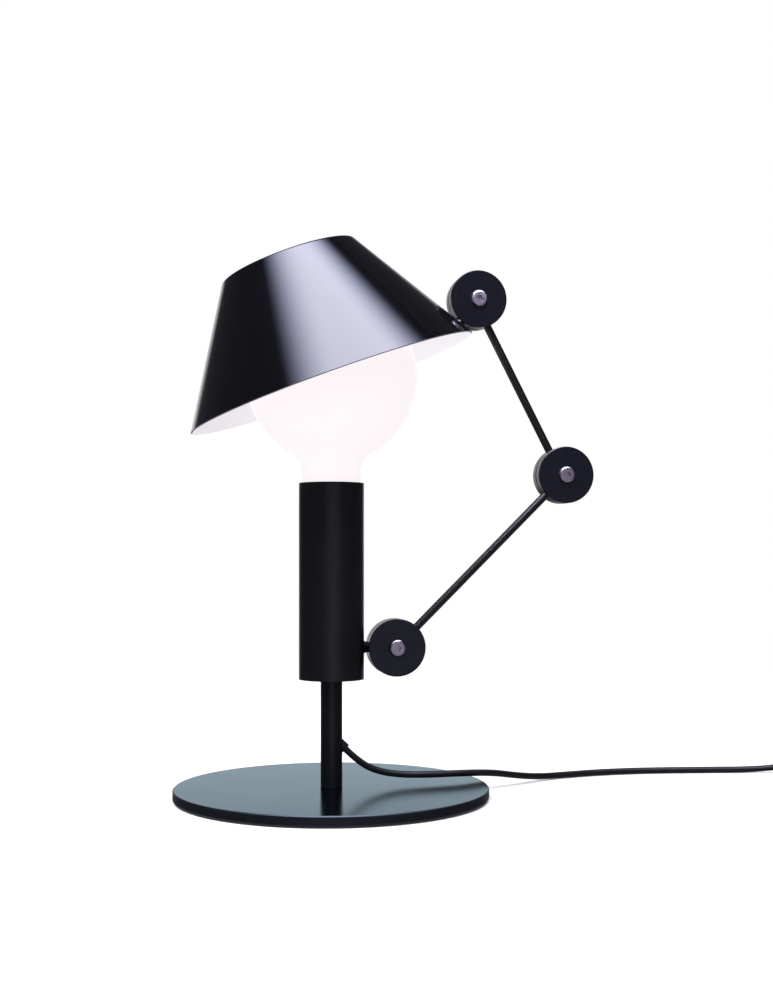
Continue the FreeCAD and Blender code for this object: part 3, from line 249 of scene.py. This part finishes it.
class FinishSettings(bpy.types.PropertyGroup):
    plate: colour("Plate, head on", (0.034, 0.037, 0.042), "Base plate seen from straight above")
    plate_sheen: colour("Plate, grazing", (0.66, 0.82, 0.93), "Base plate seen along its surface")
    black: colour("Black steel", (0.0018, 0.0018, 0.0028), "Pole, body tube and rods")
    disc: colour("Disc black", (0.0022, 0.0024, 0.0062), "Friction discs")
    shade: colour("Shade outside", (0.0014, 0.0014, 0.0022), "Gloss enamel")
    lining: colour("Shade inside", (0.86, 0.835, 0.865), "White enamel")
    screw: colour("Screws", (0.56, 0.49, 0.57), "Bright zinc")
    glass: colour("Opal glass", (0.13, 0.12, 0.122), "Light that the bulb's glass scatters back")
    # The glow is painted light: an even emission that keeps the bulb's glass near white all over, with little
    # shading.
    glow: colour("Glow", (1.0, 0.945, 0.962), "Light from inside the bulb")
    painted_glow_power: FloatProperty(name="Glow strength", description="Brightness of the glow", default=0.82)
    plastic: colour("Moulded plastic", (0.008, 0.008, 0.0095), "Switch, plug and lampholder")
    sheath: colour("Cord sheath", (0.0025, 0.0028, 0.0045), "Round cord")
    felt: colour("Felt", (0.020, 0.020, 0.023), "Pad and coil tie")
    bare_edge: colour("Bare edge", (0.20, 0.19, 0.23), "The shade's cut edge")
    nylon: colour("Nylon", (0.012, 0.012, 0.012), "Washers between the discs")
    alloy: colour("Cap alloy", (0.62, 0.61, 0.60), "The bulb's cap")
    brass: colour("Brass", (0.58, 0.40, 0.15), "Brass parts")
    paper: colour("Floor paper", (0.90, 0.90, 0.90), "The floor")


class StudioSettings(bpy.types.PropertyGroup):
    eye: place("Camera", (-0.10772, -0.94409, 0.16883), "Where the photograph was taken from")
    heading: angle("Camera heading", -8.83, "Turn from +Y, level view")
    lens: FloatProperty(name="Lens", description="Focal length in mm", default=48.89)
    sensor: FloatProperty(name="Sensor", description="Long side of the picture in mm", default=36)
    shift: FloatProperty(name="Shift", description="Rise of the picture over its long side", default=0.0559)
    floor: length("Floor", 12, "Side of the floor")
    floor_gap: length("Floor gap", 0.0001, "Room between the floor and what stands on it")
    fade_start: length("Fade, start", 0.55, "Where the floor begins to turn into the background")
    fade_end: length("Fade, end", 1.3, "Where the floor is all background")
    card: place("Card", (-0.189, -0.460, 1.6), "Middle of the reflected panel")
    card_size: length("Card size", 2.2, "Side of the reflected panel")
    card_turn: angle("Card turn", -26.8, "Turn of the reflected panel about the vertical")
    card_power: FloatProperty(name="Card brightness", description="Radiance of the panel", default=16.2)


GROUPS = (CordSettings, ShadeSettings, PlugSettings, TieSettings, FinishSettings, StudioSettings)


class LampSettings(bpy.types.PropertyGroup):
    cord: PointerProperty(type=CordSettings, name="Cord", description="Cords")
    shade: PointerProperty(type=ShadeSettings, name="Shade", description="Shade")
    plug: PointerProperty(type=PlugSettings, name="Plug", description="Plug")
    tie: PointerProperty(type=TieSettings, name="Tie", description="Coil tie")
    finish: PointerProperty(type=FinishSettings, name="Finish", description="Colours")
    studio: PointerProperty(type=StudioSettings, name="Studio", description="Camera and lights")


def deselect():
    if bpy.context.mode != "OBJECT":
        bpy.ops.object.mode_set(mode="OBJECT")
    bpy.ops.object.select_all(action="DESELECT")


def choose(piece):
    deselect()
    piece.select_set(True)
    bpy.context.view_layer.objects.active = piece


def edit(piece):
    choose(piece)
    bpy.ops.object.mode_set(mode="EDIT")
    bpy.ops.mesh.select_all(action="SELECT")


def pick(piece, wanted):
    """Go into edit mode with only the faces selected whose middle and normal pass the test."""
    edit(piece)
    bpy.ops.mesh.select_mode(type="FACE")
    bpy.ops.mesh.select_all(action="DESELECT")
    bpy.ops.object.mode_set(mode="OBJECT")
    for face in piece.data.polygons:
        face.select = wanted(face.center, face.normal)
    bpy.ops.object.mode_set(mode="EDIT")


def pick_edges(piece, wanted):
    """Go into edit mode with only the edges selected whose two ends pass the test."""
    edit(piece)
    bpy.ops.mesh.select_mode(type="EDGE")
    bpy.ops.mesh.select_all(action="DESELECT")
    bpy.ops.object.mode_set(mode="OBJECT")
    for edge in piece.data.edges:
        edge.select = wanted([piece.data.vertices[index].co for index in edge.vertices])
    bpy.ops.object.mode_set(mode="EDIT")


def settle(piece):
    """Weld, turn the faces outwards and put the piece's origin at the frame's."""
    edit(piece)
    bpy.ops.mesh.remove_doubles(threshold=WELD)
    bpy.ops.mesh.normals_make_consistent(inside=False)
    bpy.ops.object.mode_set(mode="OBJECT")
    bpy.ops.object.transform_apply(location=True, rotation=True, scale=True)


def modify(piece, kind, **values):
    """Add a modifier, set it and apply it."""
    choose(piece)
    modifier = piece.modifiers.new(kind.title(), kind)
    for name, value in values.items():
        setattr(modifier, name, value)
    bpy.ops.object.modifier_apply(modifier=modifier.name)


def smooth(piece):
    choose(piece)
    bpy.ops.object.shade_smooth_by_angle(angle=SMOOTH_ANGLE)


def turned(name, rings, sides, solid=True):
    """A turned piece about Z, from rings of a radius and a height each."""
    (radius, height), *others = rings
    deselect()
    bpy.ops.mesh.primitive_circle_add(
        vertices=sides, radius=radius, fill_type="NGON" if solid else "NOTHING", location=(0, 0, height))
    piece = bpy.context.object
    piece.name = name
    edit(piece)
    for wider, higher in others:
        bpy.ops.mesh.extrude_region_move(TRANSFORM_OT_translate={"value": (0, 0, higher - height)})
        scale = wider / radius
        bpy.ops.transform.resize(value=(scale, scale, 1), center_override=(0, 0, higher))
        radius, height = wider, higher
    bpy.ops.object.mode_set(mode="OBJECT")
    return piece


def move(piece, matrix):
    piece.matrix_world = matrix @ piece.matrix_world
    choose(piece)
    bpy.ops.object.transform_apply(location=True, rotation=True, scale=True)


def join(name, first, *others):
    choose(first)
    for other in others:
        other.select_set(True)
    bpy.ops.object.join()
    first.name = name
    return first


def dress(piece, body, slot, material, *nodes):
    """Hang a finished piece on its body, with its finish, in place of some solids."""
    if material:
        piece.data.materials.clear()
        piece.data.materials.append(material)
    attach(piece, body)
    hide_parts(*nodes)


def shader(name):
    """A new node material with only a Principled shader in it."""
    material = bpy.data.materials.new(name)
    material.use_nodes = True
    tree = material.node_tree
    return material, tree, tree.nodes["Principled BSDF"]


def constants(node, **values):
    """Set a node's sockets by name, with underscores for spaces."""
    for name, value in values.items():
        node.inputs[name.replace("_", " ")].default_value = value


def noise(tree, scale, stretch=(1, 1, 1)):
    """Noise in the frame's own coordinates, stretched along the axes if asked."""
    where = tree.nodes.new("ShaderNodeTexCoord")
    mapping = tree.nodes.new("ShaderNodeMapping")
    constants(mapping, Scale=stretch)
    texture = tree.nodes.new("ShaderNodeTexNoise")
    constants(texture, Scale=scale, Detail=3.0)
    tree.links.new(where.outputs["Object"], mapping.inputs["Vector"])
    tree.links.new(mapping.outputs["Vector"], texture.inputs["Vector"])
    return texture.outputs["Fac"]


def spread(tree, source, low, high):
    """Map a texture's middle range to the values from low to high."""
    start, stop = NOISE_RANGE
    mapped = tree.nodes.new("ShaderNodeMapRange")
    constants(mapped, From_Min=start, From_Max=stop, To_Min=low, To_Max=high)
    tree.links.new(source, mapped.inputs["Value"])
    return mapped.outputs["Result"]


def grained(name, tint, roughness, grain, depth, vary=0.12, stretch=(1, 1, 1), **values):
    """A finish with a fine bump, patches of slightly different shine and a slightly uneven colour."""
    material, tree, principled = shader(name)
    constants(principled, **values)
    fine = noise(tree, grain, stretch=stretch)
    bump = tree.nodes.new("ShaderNodeBump")
    constants(bump, Strength=1.0, Distance=depth)
    tree.links.new(fine, bump.inputs["Height"])
    tree.links.new(bump.outputs["Normal"], principled.inputs["Normal"])
    patches = noise(tree, PATCH_SCALE * grain)
    shine = spread(tree, patches, roughness * (1 - vary), roughness * (1 + vary))
    tree.links.new(shine, principled.inputs["Roughness"])
    dark = tuple(part * (1 - vary) for part in tint)
    light = tuple(min(1, part * (1 + vary)) for part in tint)
    tree.links.new(blend(tree, fine, dark, light), principled.inputs["Base Color"])
    return material


def ramp(tree, source, start, stop):
    """From 0 at one value to 1 at another, eased at both ends."""
    step = tree.nodes.new("ShaderNodeMapRange")
    step.interpolation_type = "SMOOTHSTEP"
    constants(step, From_Min=start, From_Max=stop)
    tree.links.new(source, step.inputs["Value"])
    return step.outputs["Result"]


def product(tree, first, *others):
    """A node's output multiplied by others, each a number or an output too."""
    for other in others:
        node = tree.nodes.new("ShaderNodeMath")
        node.operation = "MULTIPLY"
        tree.links.new(first, node.inputs[0])
        if isinstance(other, float):
            node.inputs[1].default_value = other
        else:
            tree.links.new(other, node.inputs[1])
        first = node.outputs["Value"]
    return first


def blend(tree, factor, first, second):
    """Two colours or two numbers mixed, each given as it is or as another node's output."""
    mix = tree.nodes.new("ShaderNodeMix")
    mix.data_type = "FLOAT" if isinstance(second, float) else "RGBA"
    tree.links.new(factor, mix.inputs["Factor"])
    for socket, value in (("A", first), ("B", second)):
        if isinstance(value, float):
            mix.inputs[socket].default_value = value
        elif isinstance(value, tuple):
            mix.inputs[socket].default_value = (*value, 1)
        else:
            tree.links.new(value, mix.inputs[socket])
    return mix.outputs["Result"]


def coordinates(tree, kind="Object"):
    """The X, Y and Z of where a shader is asked, or of the direction in a world."""
    where = tree.nodes.new("ShaderNodeTexCoord")
    parts = tree.nodes.new("ShaderNodeSeparateXYZ")
    tree.links.new(where.outputs[kind], parts.inputs["Vector"])
    return parts.outputs


def away_from(tree, source, middle=0.0):
    """How far a value is from a middle one, on either side."""
    node = tree.nodes.new("ShaderNodeMath")
    node.operation = "SUBTRACT"
    node.inputs[1].default_value = middle
    tree.links.new(source, node.inputs[0])
    size = tree.nodes.new("ShaderNodeMath")
    size.operation = "ABSOLUTE"
    tree.links.new(node.outputs["Value"], size.inputs[0])
    return size.outputs["Value"]


def from_axis(tree):
    """How far the shaded point is from the frame's Z axis."""
    where = tree.nodes.new("ShaderNodeTexCoord")
    flat = tree.nodes.new("ShaderNodeVectorMath")
    flat.operation = "MULTIPLY"
    flat.inputs[1].default_value = (1, 1, 0)
    away = tree.nodes.new("ShaderNodeVectorMath")
    away.operation = "LENGTH"
    tree.links.new(where.outputs["Object"], flat.inputs[0])
    tree.links.new(flat.outputs["Vector"], away.inputs[0])
    return away.outputs["Value"]


def mixed(material, factor, second):
    """Let a second shader take over from a material's own as the factor grows."""
    tree = material.node_tree
    surface = tree.nodes["Material Output"].inputs["Surface"]
    mix = tree.nodes.new("ShaderNodeMixShader")
    tree.links.new(factor, mix.inputs["Fac"])
    tree.links.new(surface.links[0].from_socket, mix.inputs[1])
    tree.links.new(second, mix.inputs[2])
    tree.links.new(mix.outputs["Shader"], surface)


def take_over(tree, factor, name, value):
    """Let a colour or number take over from the Principled shader's own as the factor grows.

    A colour is only taken over from another node's output.
    """
    socket = tree.nodes["Principled BSDF"].inputs[name]
    own = socket.links[0].from_socket if socket.links else socket.default_value
    tree.links.new(blend(tree, factor, own, value), socket)


def plate_paint(settings):
    """Near-black satin metal on the plate's top, and its turned edge blacker and rougher."""
    paint = grained(
        "plate_paint", settings.plate, roughness=0.17, grain=900, depth=0.0000012, vary=0.08,
        Metallic=1.0, Specular_Tint=(*settings.plate_sheen, 1))
    tree = paint.node_tree
    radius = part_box("base_plate")[1].x
    begin, full = PLATE_EDGE
    edge = ramp(tree, from_axis(tree), radius - begin, radius - full)
    take_over(tree, edge, "Base Color", tuple(settings.black))
    take_over(tree, edge, "Roughness", PLATE_EDGE_ROUGHNESS)
    take_over(tree, edge, "Metallic", 0.0)
    return paint


def zinc(settings):
    """Bright zinc, with painted shade behind the pivot heads' faces, in their sockets."""
    material = grained(
        "zinc_with_painted_socket_shade", settings.screw, roughness=0.3, grain=1500, depth=0.000004, vary=0.2,
        stretch=(1, 1, 6), Metallic=1.0)
    tree = material.node_tree
    face = -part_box("hip_pivot_screw")[0].y
    depth = away_from(tree, coordinates(tree)["Y"])
    begin, full = SOCKET_SHADE_LIP
    # Painted shade: the zinc is darkened where the sockets and the heads' sides lie in shade.
    sunk = ramp(tree, depth, face - begin, face - full)
    shaded = product(tree, sunk, ramp(tree, depth, *SOCKET_SHADE_ROOT))
    take_over(tree, shaded, "Base Color", tuple(SOCKET_SHADE_TONE * part for part in settings.screw))
    return material


def finishes(settings):
    """One material for each slot, and the shade's lining and bare edge."""
    return {
        "plate_steel": plate_paint(settings),
        "felt": grained(
            "felt", settings.felt, roughness=0.95, grain=3000, depth=0.00008, vary=0.4, Sheen_Weight=0.3),
        "black_steel": grained(
            "black_powder", settings.black, roughness=0.34, grain=1300, depth=0.0000008,
            Specular_IOR_Level=0.5),
        "black_disc": grained(
            "disc_paint", settings.disc, roughness=0.24, grain=1500, depth=0.0000006,
            Specular_IOR_Level=0.4),
        "shade_metal": grained(
            "shade_enamel", settings.shade, roughness=0.13, grain=500, depth=0.0000005, vary=0.1),
        "shade_inside": grained(
            "shade_lining", settings.lining, roughness=0.5, grain=2000, depth=0.00001, vary=0.03),
        "shade_edge": grained(
            "shade_edge", settings.bare_edge, roughness=0.4, grain=2500, depth=0.00001, Metallic=0.7),
        "screw_steel": zinc(settings),
        "washer_plastic": grained(
            "black_nylon", settings.nylon, roughness=0.42, grain=1800, depth=0.00002),
        # The opal glass's emission is a painted glow that keeps the bulb evenly near white.
        "opal_glass": grained(
            "opal_glass", settings.glass, roughness=0.45, grain=60, depth=0.00001, vary=0.03,
            Specular_IOR_Level=0.12, Emission_Color=(*settings.glow, 1),
            Emission_Strength=settings.painted_glow_power),
        "cap_metal": grained(
            "cap_alloy", settings.alloy, roughness=0.32, grain=1600, depth=0.00001, Metallic=1.0),
        "brass": grained(
            "brass", settings.brass, roughness=0.3, grain=1600, depth=0.00001, Metallic=1.0),
        "black_plastic": grained(
            "moulded_plastic", settings.plastic, roughness=0.48, grain=2600, depth=0.00003),
        "cord_black": grained(
            "cord_sheath", settings.sheath, roughness=0.42, grain=1900, depth=0.00001,
            Specular_IOR_Level=0.3),
    }


MATERIALS = {}


def finish_of(slot):
    """The material of a slot. The first call makes them all."""
    if slot not in MATERIALS:
        MATERIALS.update(finishes(bpy.context.scene.desk_lamp.finish))
    return MATERIALS[slot]


def line(name, points, radius):
    """A round cord or wire along a smooth spline that its control points steer."""
    curve = bpy.data.curves.new(name, "CURVE")
    curve.dimensions = "3D"
    curve.bevel_depth = radius
    curve.bevel_resolution = CORD_ROUNDNESS
    curve.resolution_u = CORD_STEPS
    curve.use_fill_caps = True
    spline = curve.splines.new("NURBS")
    spline.points.add(len(points) - 1)
    for point, target in zip(spline.points, points):
        point.co = (*target, 1)
    spline.order_u = 3
    spline.use_endpoint_u = True
    piece = bpy.data.objects.new(name, curve)
    bpy.context.collection.objects.link(piece)
    return piece


def coil_points(cord):
    """The coil's turns: inwards on the lower layer, then outwards on the upper one."""
    turns = cord.coil_turns
    # Control points stand off the turn, so that the spline between them has the turn's own radius.
    stand_off = 1 / math.cos(math.pi / cord.turn_points)
    points = []
    for step in range(2 * turns * cord.turn_points + 1):
        turned_by = step / cord.turn_points
        radius = stand_off * (cord.coil_inner + cord.coil_pitch * abs(turned_by - turns))
        climb = min(1, max(0, (turned_by - turns) / CLIMB + 0.5))
        rise = 0.5 * cord.coil_pitch * (1 - math.cos(math.pi * climb))
        heading = -2 * math.pi * turned_by
        points.append((
            cord.coil_centre[0] + radius * math.cos(heading),
            cord.coil_centre[1] + radius * math.sin(heading),
            cord.coil_low + rise,
        ))
    return points


class DESKLAMP_OT_cords(bpy.types.Operator):
    """Lay the free cord, the cord inside the pole and the two cores in the holder"""

    bl_idname = "desk_lamp.cords"
    bl_label = "Cords"

    def execute(self, context):
        settings = context.scene.desk_lamp
        cord = settings.cord
        route = [
            tuple(cord.mouth), *LEAD_POINTS, tuple(cord.switch_front), tuple(cord.switch_back),
            *TAIL_POINTS, *coil_points(cord), *END_POINTS, tuple(settings.plug.entry),
        ]
        free = line("free_cord", route, cord.radius)
        sheath = finish_of("cord_black")
        dress(free, "root", "cord_black", sheath, "cord_lead", "cord_tail", "cord_coil", "cord_end")
        seat, top = (corner.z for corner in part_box("holder_carrier"))
        mouth = Vector(cord.mouth)
        turn = Vector((0, 0, cord.turn_up))
        end = Vector((0, 0, seat))
        route = [mouth, mouth.lerp(turn, BEND_START), turn, turn.lerp(end, BEND_END), end]
        inner = line("inner_cord", [tuple(point) for point in route], cord.radius)
        dress(inner, "root", "cord_black", sheath, "cord_inner")
        side = 0.5 * cord.core_spread
        cores = [
            line(f"core_{end}", [(0, y, seat), (0, y, 0.5 * (seat + top)), (0, y, top)], cord.core_radius)
            for end, y in (("near", -side), ("far", side))
        ]
        for core in cores:
            dress(core, "root", "cord_black", sheath, "inner_leads")
        return {"FINISHED"}


class DESKLAMP_OT_shade(bpy.types.Operator):
    """Model the cone shade: black outside, white inside, with a bare edge"""

    bl_idname = "desk_lamp.shade"
    bl_label = "Shade"

    def execute(self, context):
        shade = context.scene.desk_lamp.shade
        piece = turned("shade_cone", [(shade.rim, 0), (shade.crown, shade.height)], shade.sides, solid=False)
        bpy.ops.object.mode_set(mode="EDIT")
        bpy.ops.mesh.edge_face_add()
        bpy.ops.mesh.select_all(action="SELECT")
        bpy.ops.mesh.normals_make_consistent(inside=False)
        top = shade.height - WELD
        pick_edges(piece, lambda ends: all(end.z > top for end in ends))
        bpy.ops.mesh.bevel(offset=shade.crown_edge, offset_type="OFFSET", segments=5, affect="EDGES")
        bpy.ops.object.mode_set(mode="OBJECT")
        for slot in ("shade_metal", "shade_inside", "shade_edge"):
            piece.data.materials.append(finish_of(slot))
        modify(
            piece, "SOLIDIFY", thickness=shade.wall, offset=-1, use_even_offset=True,
            material_offset=1, material_offset_rim=2)
        smooth(piece)
        lean = Matrix.Rotation(-shade.tilt, 4, "Y")
        move(piece, Matrix.Translation(shade.centre) @ lean)
        dress(piece, "shade_head", "shade_metal", None, "shade")
        return {"FINISHED"}


class DESKLAMP_OT_plug(bpy.types.Operator):
    """Model the moulded plug with its ribbed grip, strain relief and pin sleeves"""

    bl_idname = "desk_lamp.plug"
    bl_label = "Plug"

    def execute(self, context):
        plug = context.scene.desk_lamp.plug
        piece = join("plug_moulding", self.grip(plug), self.strain_relief(plug), *self.sleeves(plug))
        settle(piece)
        smooth(piece)
        move(piece, Matrix.Translation(plug.entry) @ Matrix.Rotation(plug.heading, 4, "Z"))
        dress(piece, "root", "black_plastic", finish_of("black_plastic"), "plug_body")
        return {"FINISHED"}

    def grip(self, plug):
        """The body, with grooves across its two flat sides."""
        deselect()
        bpy.ops.mesh.primitive_cube_add(size=1, location=(plug.relief + 0.5 * plug.body, 0, 0))
        body = bpy.context.object
        body.scale = (plug.body, plug.width, plug.thickness)
        settle(body)
        modify(body, "BEVEL", width=plug.corner, segments=5, limit_method="ANGLE")
        # Ribs and grooves are equally wide and fill half the body's length.
        rib = 0.5 * plug.body / (2 * plug.ribs + 1)
        first = plug.relief + plug.corner + rib
        for step in range(2 * plug.ribs):
            edit(body)
            bpy.ops.mesh.bisect(plane_co=(first + rib * step, 0, 0), plane_no=(1, 0, 0))
        bpy.ops.object.mode_set(mode="OBJECT")
        flat = 0.5 * plug.thickness - WELD

        def is_groove(centre, normal):
            step = math.floor((centre.x - first) / rib)
            return abs(centre.z) > flat and 0 <= step < 2 * plug.ribs - 1 and step % 2 == 0

        pick(body, is_groove)
        bpy.ops.mesh.inset(thickness=GRIP_STEP * rib, depth=-GRIP_DEPTH * rib, use_even_offset=True)
        bpy.ops.object.mode_set(mode="OBJECT")
        return body

    def strain_relief(self, plug):
        """The grooved taper round the cord, which starts a little inside the body so that no gap shows."""
        taper = (plug.relief_root - plug.relief_tip) / plug.relief
        rings = [(plug.relief_tip - plug.groove, 0), (plug.relief_tip, plug.groove)]
        pitch = plug.relief / (plug.relief_grooves + RELIEF_ENDS)
        for step in range(plug.relief_grooves):
            start = pitch * (step + RELIEF_START)
            stop = start + RELIEF_GROOVE * pitch
            for along, depth in (
                (start, 0), (start + plug.edge, plug.groove), (stop - plug.edge, plug.groove), (stop, 0),
            ):
                rings.append((plug.relief_tip + taper * along - depth, along))
        rings.append((plug.relief_root, plug.relief + plug.groove))
        relief = turned("plug_relief", rings, plug.steps)
        move(relief, LAY)
        return relief

    def sleeves(self, plug):
        """The insulated root of each pin, which starts a little inside the body too."""
        sunk = plug.groove
        sleeve = turned("plug_sleeve", [
            (plug.sleeve_radius, 0),
            (plug.sleeve_radius, plug.sleeve + sunk - plug.edge),
            (plug.sleeve_radius - plug.edge, plug.sleeve + sunk),
        ], plug.steps)
        body_end = plug.relief + plug.body
        move(sleeve, Matrix.Translation((body_end - sunk, -0.5 * plug.spacing, 0)) @ LAY)
        choose(sleeve)
        bpy.ops.object.duplicate(linked=False)
        other_sleeve = bpy.context.object
        move(other_sleeve, Matrix.Translation((0, plug.spacing, 0)))
        return sleeve, other_sleeve


class DESKLAMP_OT_tie(bpy.types.Operator):
    """Model the strap that holds the coil together"""

    bl_idname = "desk_lamp.tie"
    bl_label = "Coil tie"

    def execute(self, context):
        tie = context.scene.desk_lamp.tie
        low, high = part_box("coil_tie")
        deselect()
        bpy.ops.mesh.primitive_cube_add(size=1, location=(low + high) / 2)
        strap = bpy.context.object
        strap.scale = high - low
        settle(strap)
        pick_edges(strap, lambda ends: abs(ends[0].y - ends[1].y) > WELD)
        bpy.ops.mesh.bevel(offset=tie.corner, segments=6, affect="EDGES")
        bpy.ops.object.mode_set(mode="OBJECT")
        pick(strap, lambda centre, normal: abs(normal.y) > FACING)
        bpy.ops.mesh.delete(type="FACE")
        bpy.ops.object.mode_set(mode="OBJECT")
        modify(strap, "SOLIDIFY", thickness=tie.strap, offset=-1, use_even_offset=True)
        modify(strap, "BEVEL", width=tie.edge, segments=2, limit_method="ANGLE")
        smooth(strap)
        strap.name = "tie_strap"
        dress(strap, "root", "cord_black", finish_of("felt"), "coil_tie")
        return {"FINISHED"}


class DESKLAMP_OT_finish(bpy.types.Operator):
    """Give every solid its finish"""

    bl_idname = "desk_lamp.finish"
    bl_label = "Finishes"

    def execute(self, context):
        for part in frame["record"]["subparts"]:
            for slot in frame["nodes"][part["node"]].material_slots:
                slot.link = "OBJECT"
                slot.material = finish_of(part["material_slot"])
        return {"FINISHED"}


class DESKLAMP_OT_studio(bpy.types.Operator):
    """Set up the camera, the pale floor, the soft lights and the white background"""

    bl_idname = "desk_lamp.studio"
    bl_label = "Studio"

    def execute(self, context):
        studio = context.scene.desk_lamp.studio
        self.add_camera(context, studio)
        self.add_floor(studio, context.scene.desk_lamp.finish.paper)
        self.add_card(studio)
        self.add_lights()
        self.add_world(context)
        return {"FINISHED"}

    def add_camera(self, context, studio):
        lens = bpy.data.cameras.new("photo_camera")
        lens.sensor_width = studio.sensor
        lens.lens = studio.lens
        lens.shift_y = studio.shift
        camera = bpy.data.objects.new("photo_camera", lens)
        camera.location = studio.eye
        camera.rotation_euler = (math.radians(90), 0, studio.heading)
        context.collection.objects.link(camera)
        context.scene.camera = camera

    def add_floor(self, studio, tint):
        """A floor that fades into the background and can be looked through from below."""
        deselect()
        bpy.ops.mesh.primitive_plane_add(size=studio.floor, location=(0, 0, -studio.floor_gap))
        floor = bpy.context.object
        floor.name = "floor"
        floor.visible_glossy = False
        paper = grained("floor_paper", tint, roughness=0.9, grain=300, depth=0.00001, vary=0.01)
        tree = paper.node_tree
        white = tree.nodes.new("ShaderNodeEmission")
        away = ramp(tree, from_axis(tree), studio.fade_start, studio.fade_end)
        mixed(paper, away, white.outputs["Emission"])
        side = tree.nodes.new("ShaderNodeNewGeometry")
        clear = tree.nodes.new("ShaderNodeBsdfTransparent")
        mixed(paper, side.outputs["Backfacing"], clear.outputs["BSDF"])
        floor.data.materials.append(paper)

    def add_card(self, studio):
        """A bright panel above the lamp that only shows in reflections, mostly in the shade's enamel."""
        deselect()
        # It's two metres wide before it's scaled, so its own coordinates run from -1 to 1.
        bpy.ops.mesh.primitive_plane_add(size=2, location=studio.card, rotation=(0, 0, studio.card_turn))
        card = bpy.context.object
        card.name = "reflected_panel"
        card.scale = (0.5 * studio.card_size, 0.5 * studio.card_size, 1)
        card.visible_camera = False
        card.visible_diffuse = False
        card.visible_shadow = False
        material = bpy.data.materials.new("panel_light")
        material.use_nodes = True
        tree = material.node_tree
        tree.nodes.clear()
        across, deep, _ = coordinates(tree)
        level = product(
            tree, ramp(tree, across, *PANEL_FADES["left"]), ramp(tree, across, *PANEL_FADES["right"]),
            ramp(tree, deep, *PANEL_FADES["far"]), ramp(tree, deep, *PANEL_FADES["near"]))
        light = tree.nodes.new("ShaderNodeEmission")
        tint = blend(tree, level, PANEL_DIM, PANEL_BRIGHT)
        tree.links.new(tint, light.inputs["Color"])
        tree.links.new(product(tree, level, studio.card_power), light.inputs["Strength"])
        output = tree.nodes.new("ShaderNodeOutputMaterial")
        tree.links.new(light.outputs["Emission"], output.inputs["Surface"])
        card.data.materials.append(material)

    def add_lights(self):
        """A large soft light above, and a weaker one in front, both out of the reflections."""
        for name, location, size, power in LIGHTS:
            data = bpy.data.lights.new(name, "AREA")
            data.shape = "SQUARE"
            data.size = size
            data.energy = power
            light = bpy.data.objects.new(name, data)
            light.location = location
            towards = LIT_POINT - light.location
            light.rotation_euler = towards.to_track_quat("-Z", "Y").to_euler()
            light.visible_glossy = False
            bpy.context.collection.objects.link(light)

    def add_world(self, context):
        """White to the camera, plain to matt surfaces, and a dim room with a bright wall to shiny ones."""
        world = bpy.data.worlds.new("studio")
        context.scene.world = world
        world.use_nodes = True
        tree = world.node_tree
        tree.nodes.clear()
        path = tree.nodes.new("ShaderNodeLightPath")
        right, back, up = coordinates(tree, "Generated")
        wall = product(
            tree, ramp(tree, back, *WALL_BACK), ramp(tree, up, *WALL_BOTTOM), ramp(tree, up, *WALL_TOP),
            ramp(tree, away_from(tree, right, WALL_MIDDLE), *WALL_SIDES))
        wall_light = blend(tree, ramp(tree, up, *WALL_LOWER), WALL_HIGH_LIGHT, WALL_LOW_LIGHT)
        front_light = blend(tree, ramp(tree, up, *FRONT_LOWER), FRONT_HIGH_LIGHT, FRONT_LOW_LIGHT)
        room = blend(tree, ramp(tree, back, *FRONT), ROOM_LIGHT, front_light)
        room = blend(tree, ramp(tree, up, *GROUND), room, GROUND_LIGHT)
        room = blend(tree, wall, room, wall_light)
        plain = blend(tree, path.outputs["Is Glossy Ray"], MATT_LIGHT, room)
        seen = blend(tree, path.outputs["Is Camera Ray"], plain, BACKGROUND)
        background = tree.nodes.new("ShaderNodeBackground")
        tree.links.new(seen, background.inputs["Color"])
        output = tree.nodes.new("ShaderNodeOutputWorld")
        tree.links.new(background.outputs["Background"], output.inputs["Surface"])
        context.scene.view_settings.view_transform = "Standard"


OPERATORS = (
    DESKLAMP_OT_cords,
    DESKLAMP_OT_shade,
    DESKLAMP_OT_plug,
    DESKLAMP_OT_tie,
    DESKLAMP_OT_finish,
    DESKLAMP_OT_studio,
)


class DESKLAMP_PT_panel(bpy.types.Panel):
    """The lamp's operators and sizes"""

    bl_idname = "DESKLAMP_PT_panel"
    bl_label = "Desk lamp"
    bl_space_type = "VIEW_3D"
    bl_region_type = "UI"
    bl_category = "Desk lamp"

    def draw(self, context):
        settings = context.scene.desk_lamp
        for operator in OPERATORS:
            self.layout.operator(operator.bl_idname)
        for name in settings.bl_rna.properties.keys():
            group = getattr(settings, name)
            if not isinstance(group, bpy.types.PropertyGroup):
                continue
            box = self.layout.box()
            box.label(text=name.title())
            for field in type(group).__annotations__:
                box.prop(group, field)


CLASSES = (*GROUPS, LampSettings, *OPERATORS, DESKLAMP_PT_panel)


def register():
    for kind in CLASSES:
        bpy.utils.register_class(kind)
    bpy.types.Scene.desk_lamp = PointerProperty(type=LampSettings)


def unregister():
    del bpy.types.Scene.desk_lamp
    for kind in reversed(CLASSES):
        bpy.utils.unregister_class(kind)


def main():
    register()
    bpy.ops.desk_lamp.finish()
    bpy.ops.desk_lamp.studio()
    bpy.ops.desk_lamp.cords()
    bpy.ops.desk_lamp.shade()
    bpy.ops.desk_lamp.plug()
    bpy.ops.desk_lamp.tie()


if __name__ == "__main__":
    main()
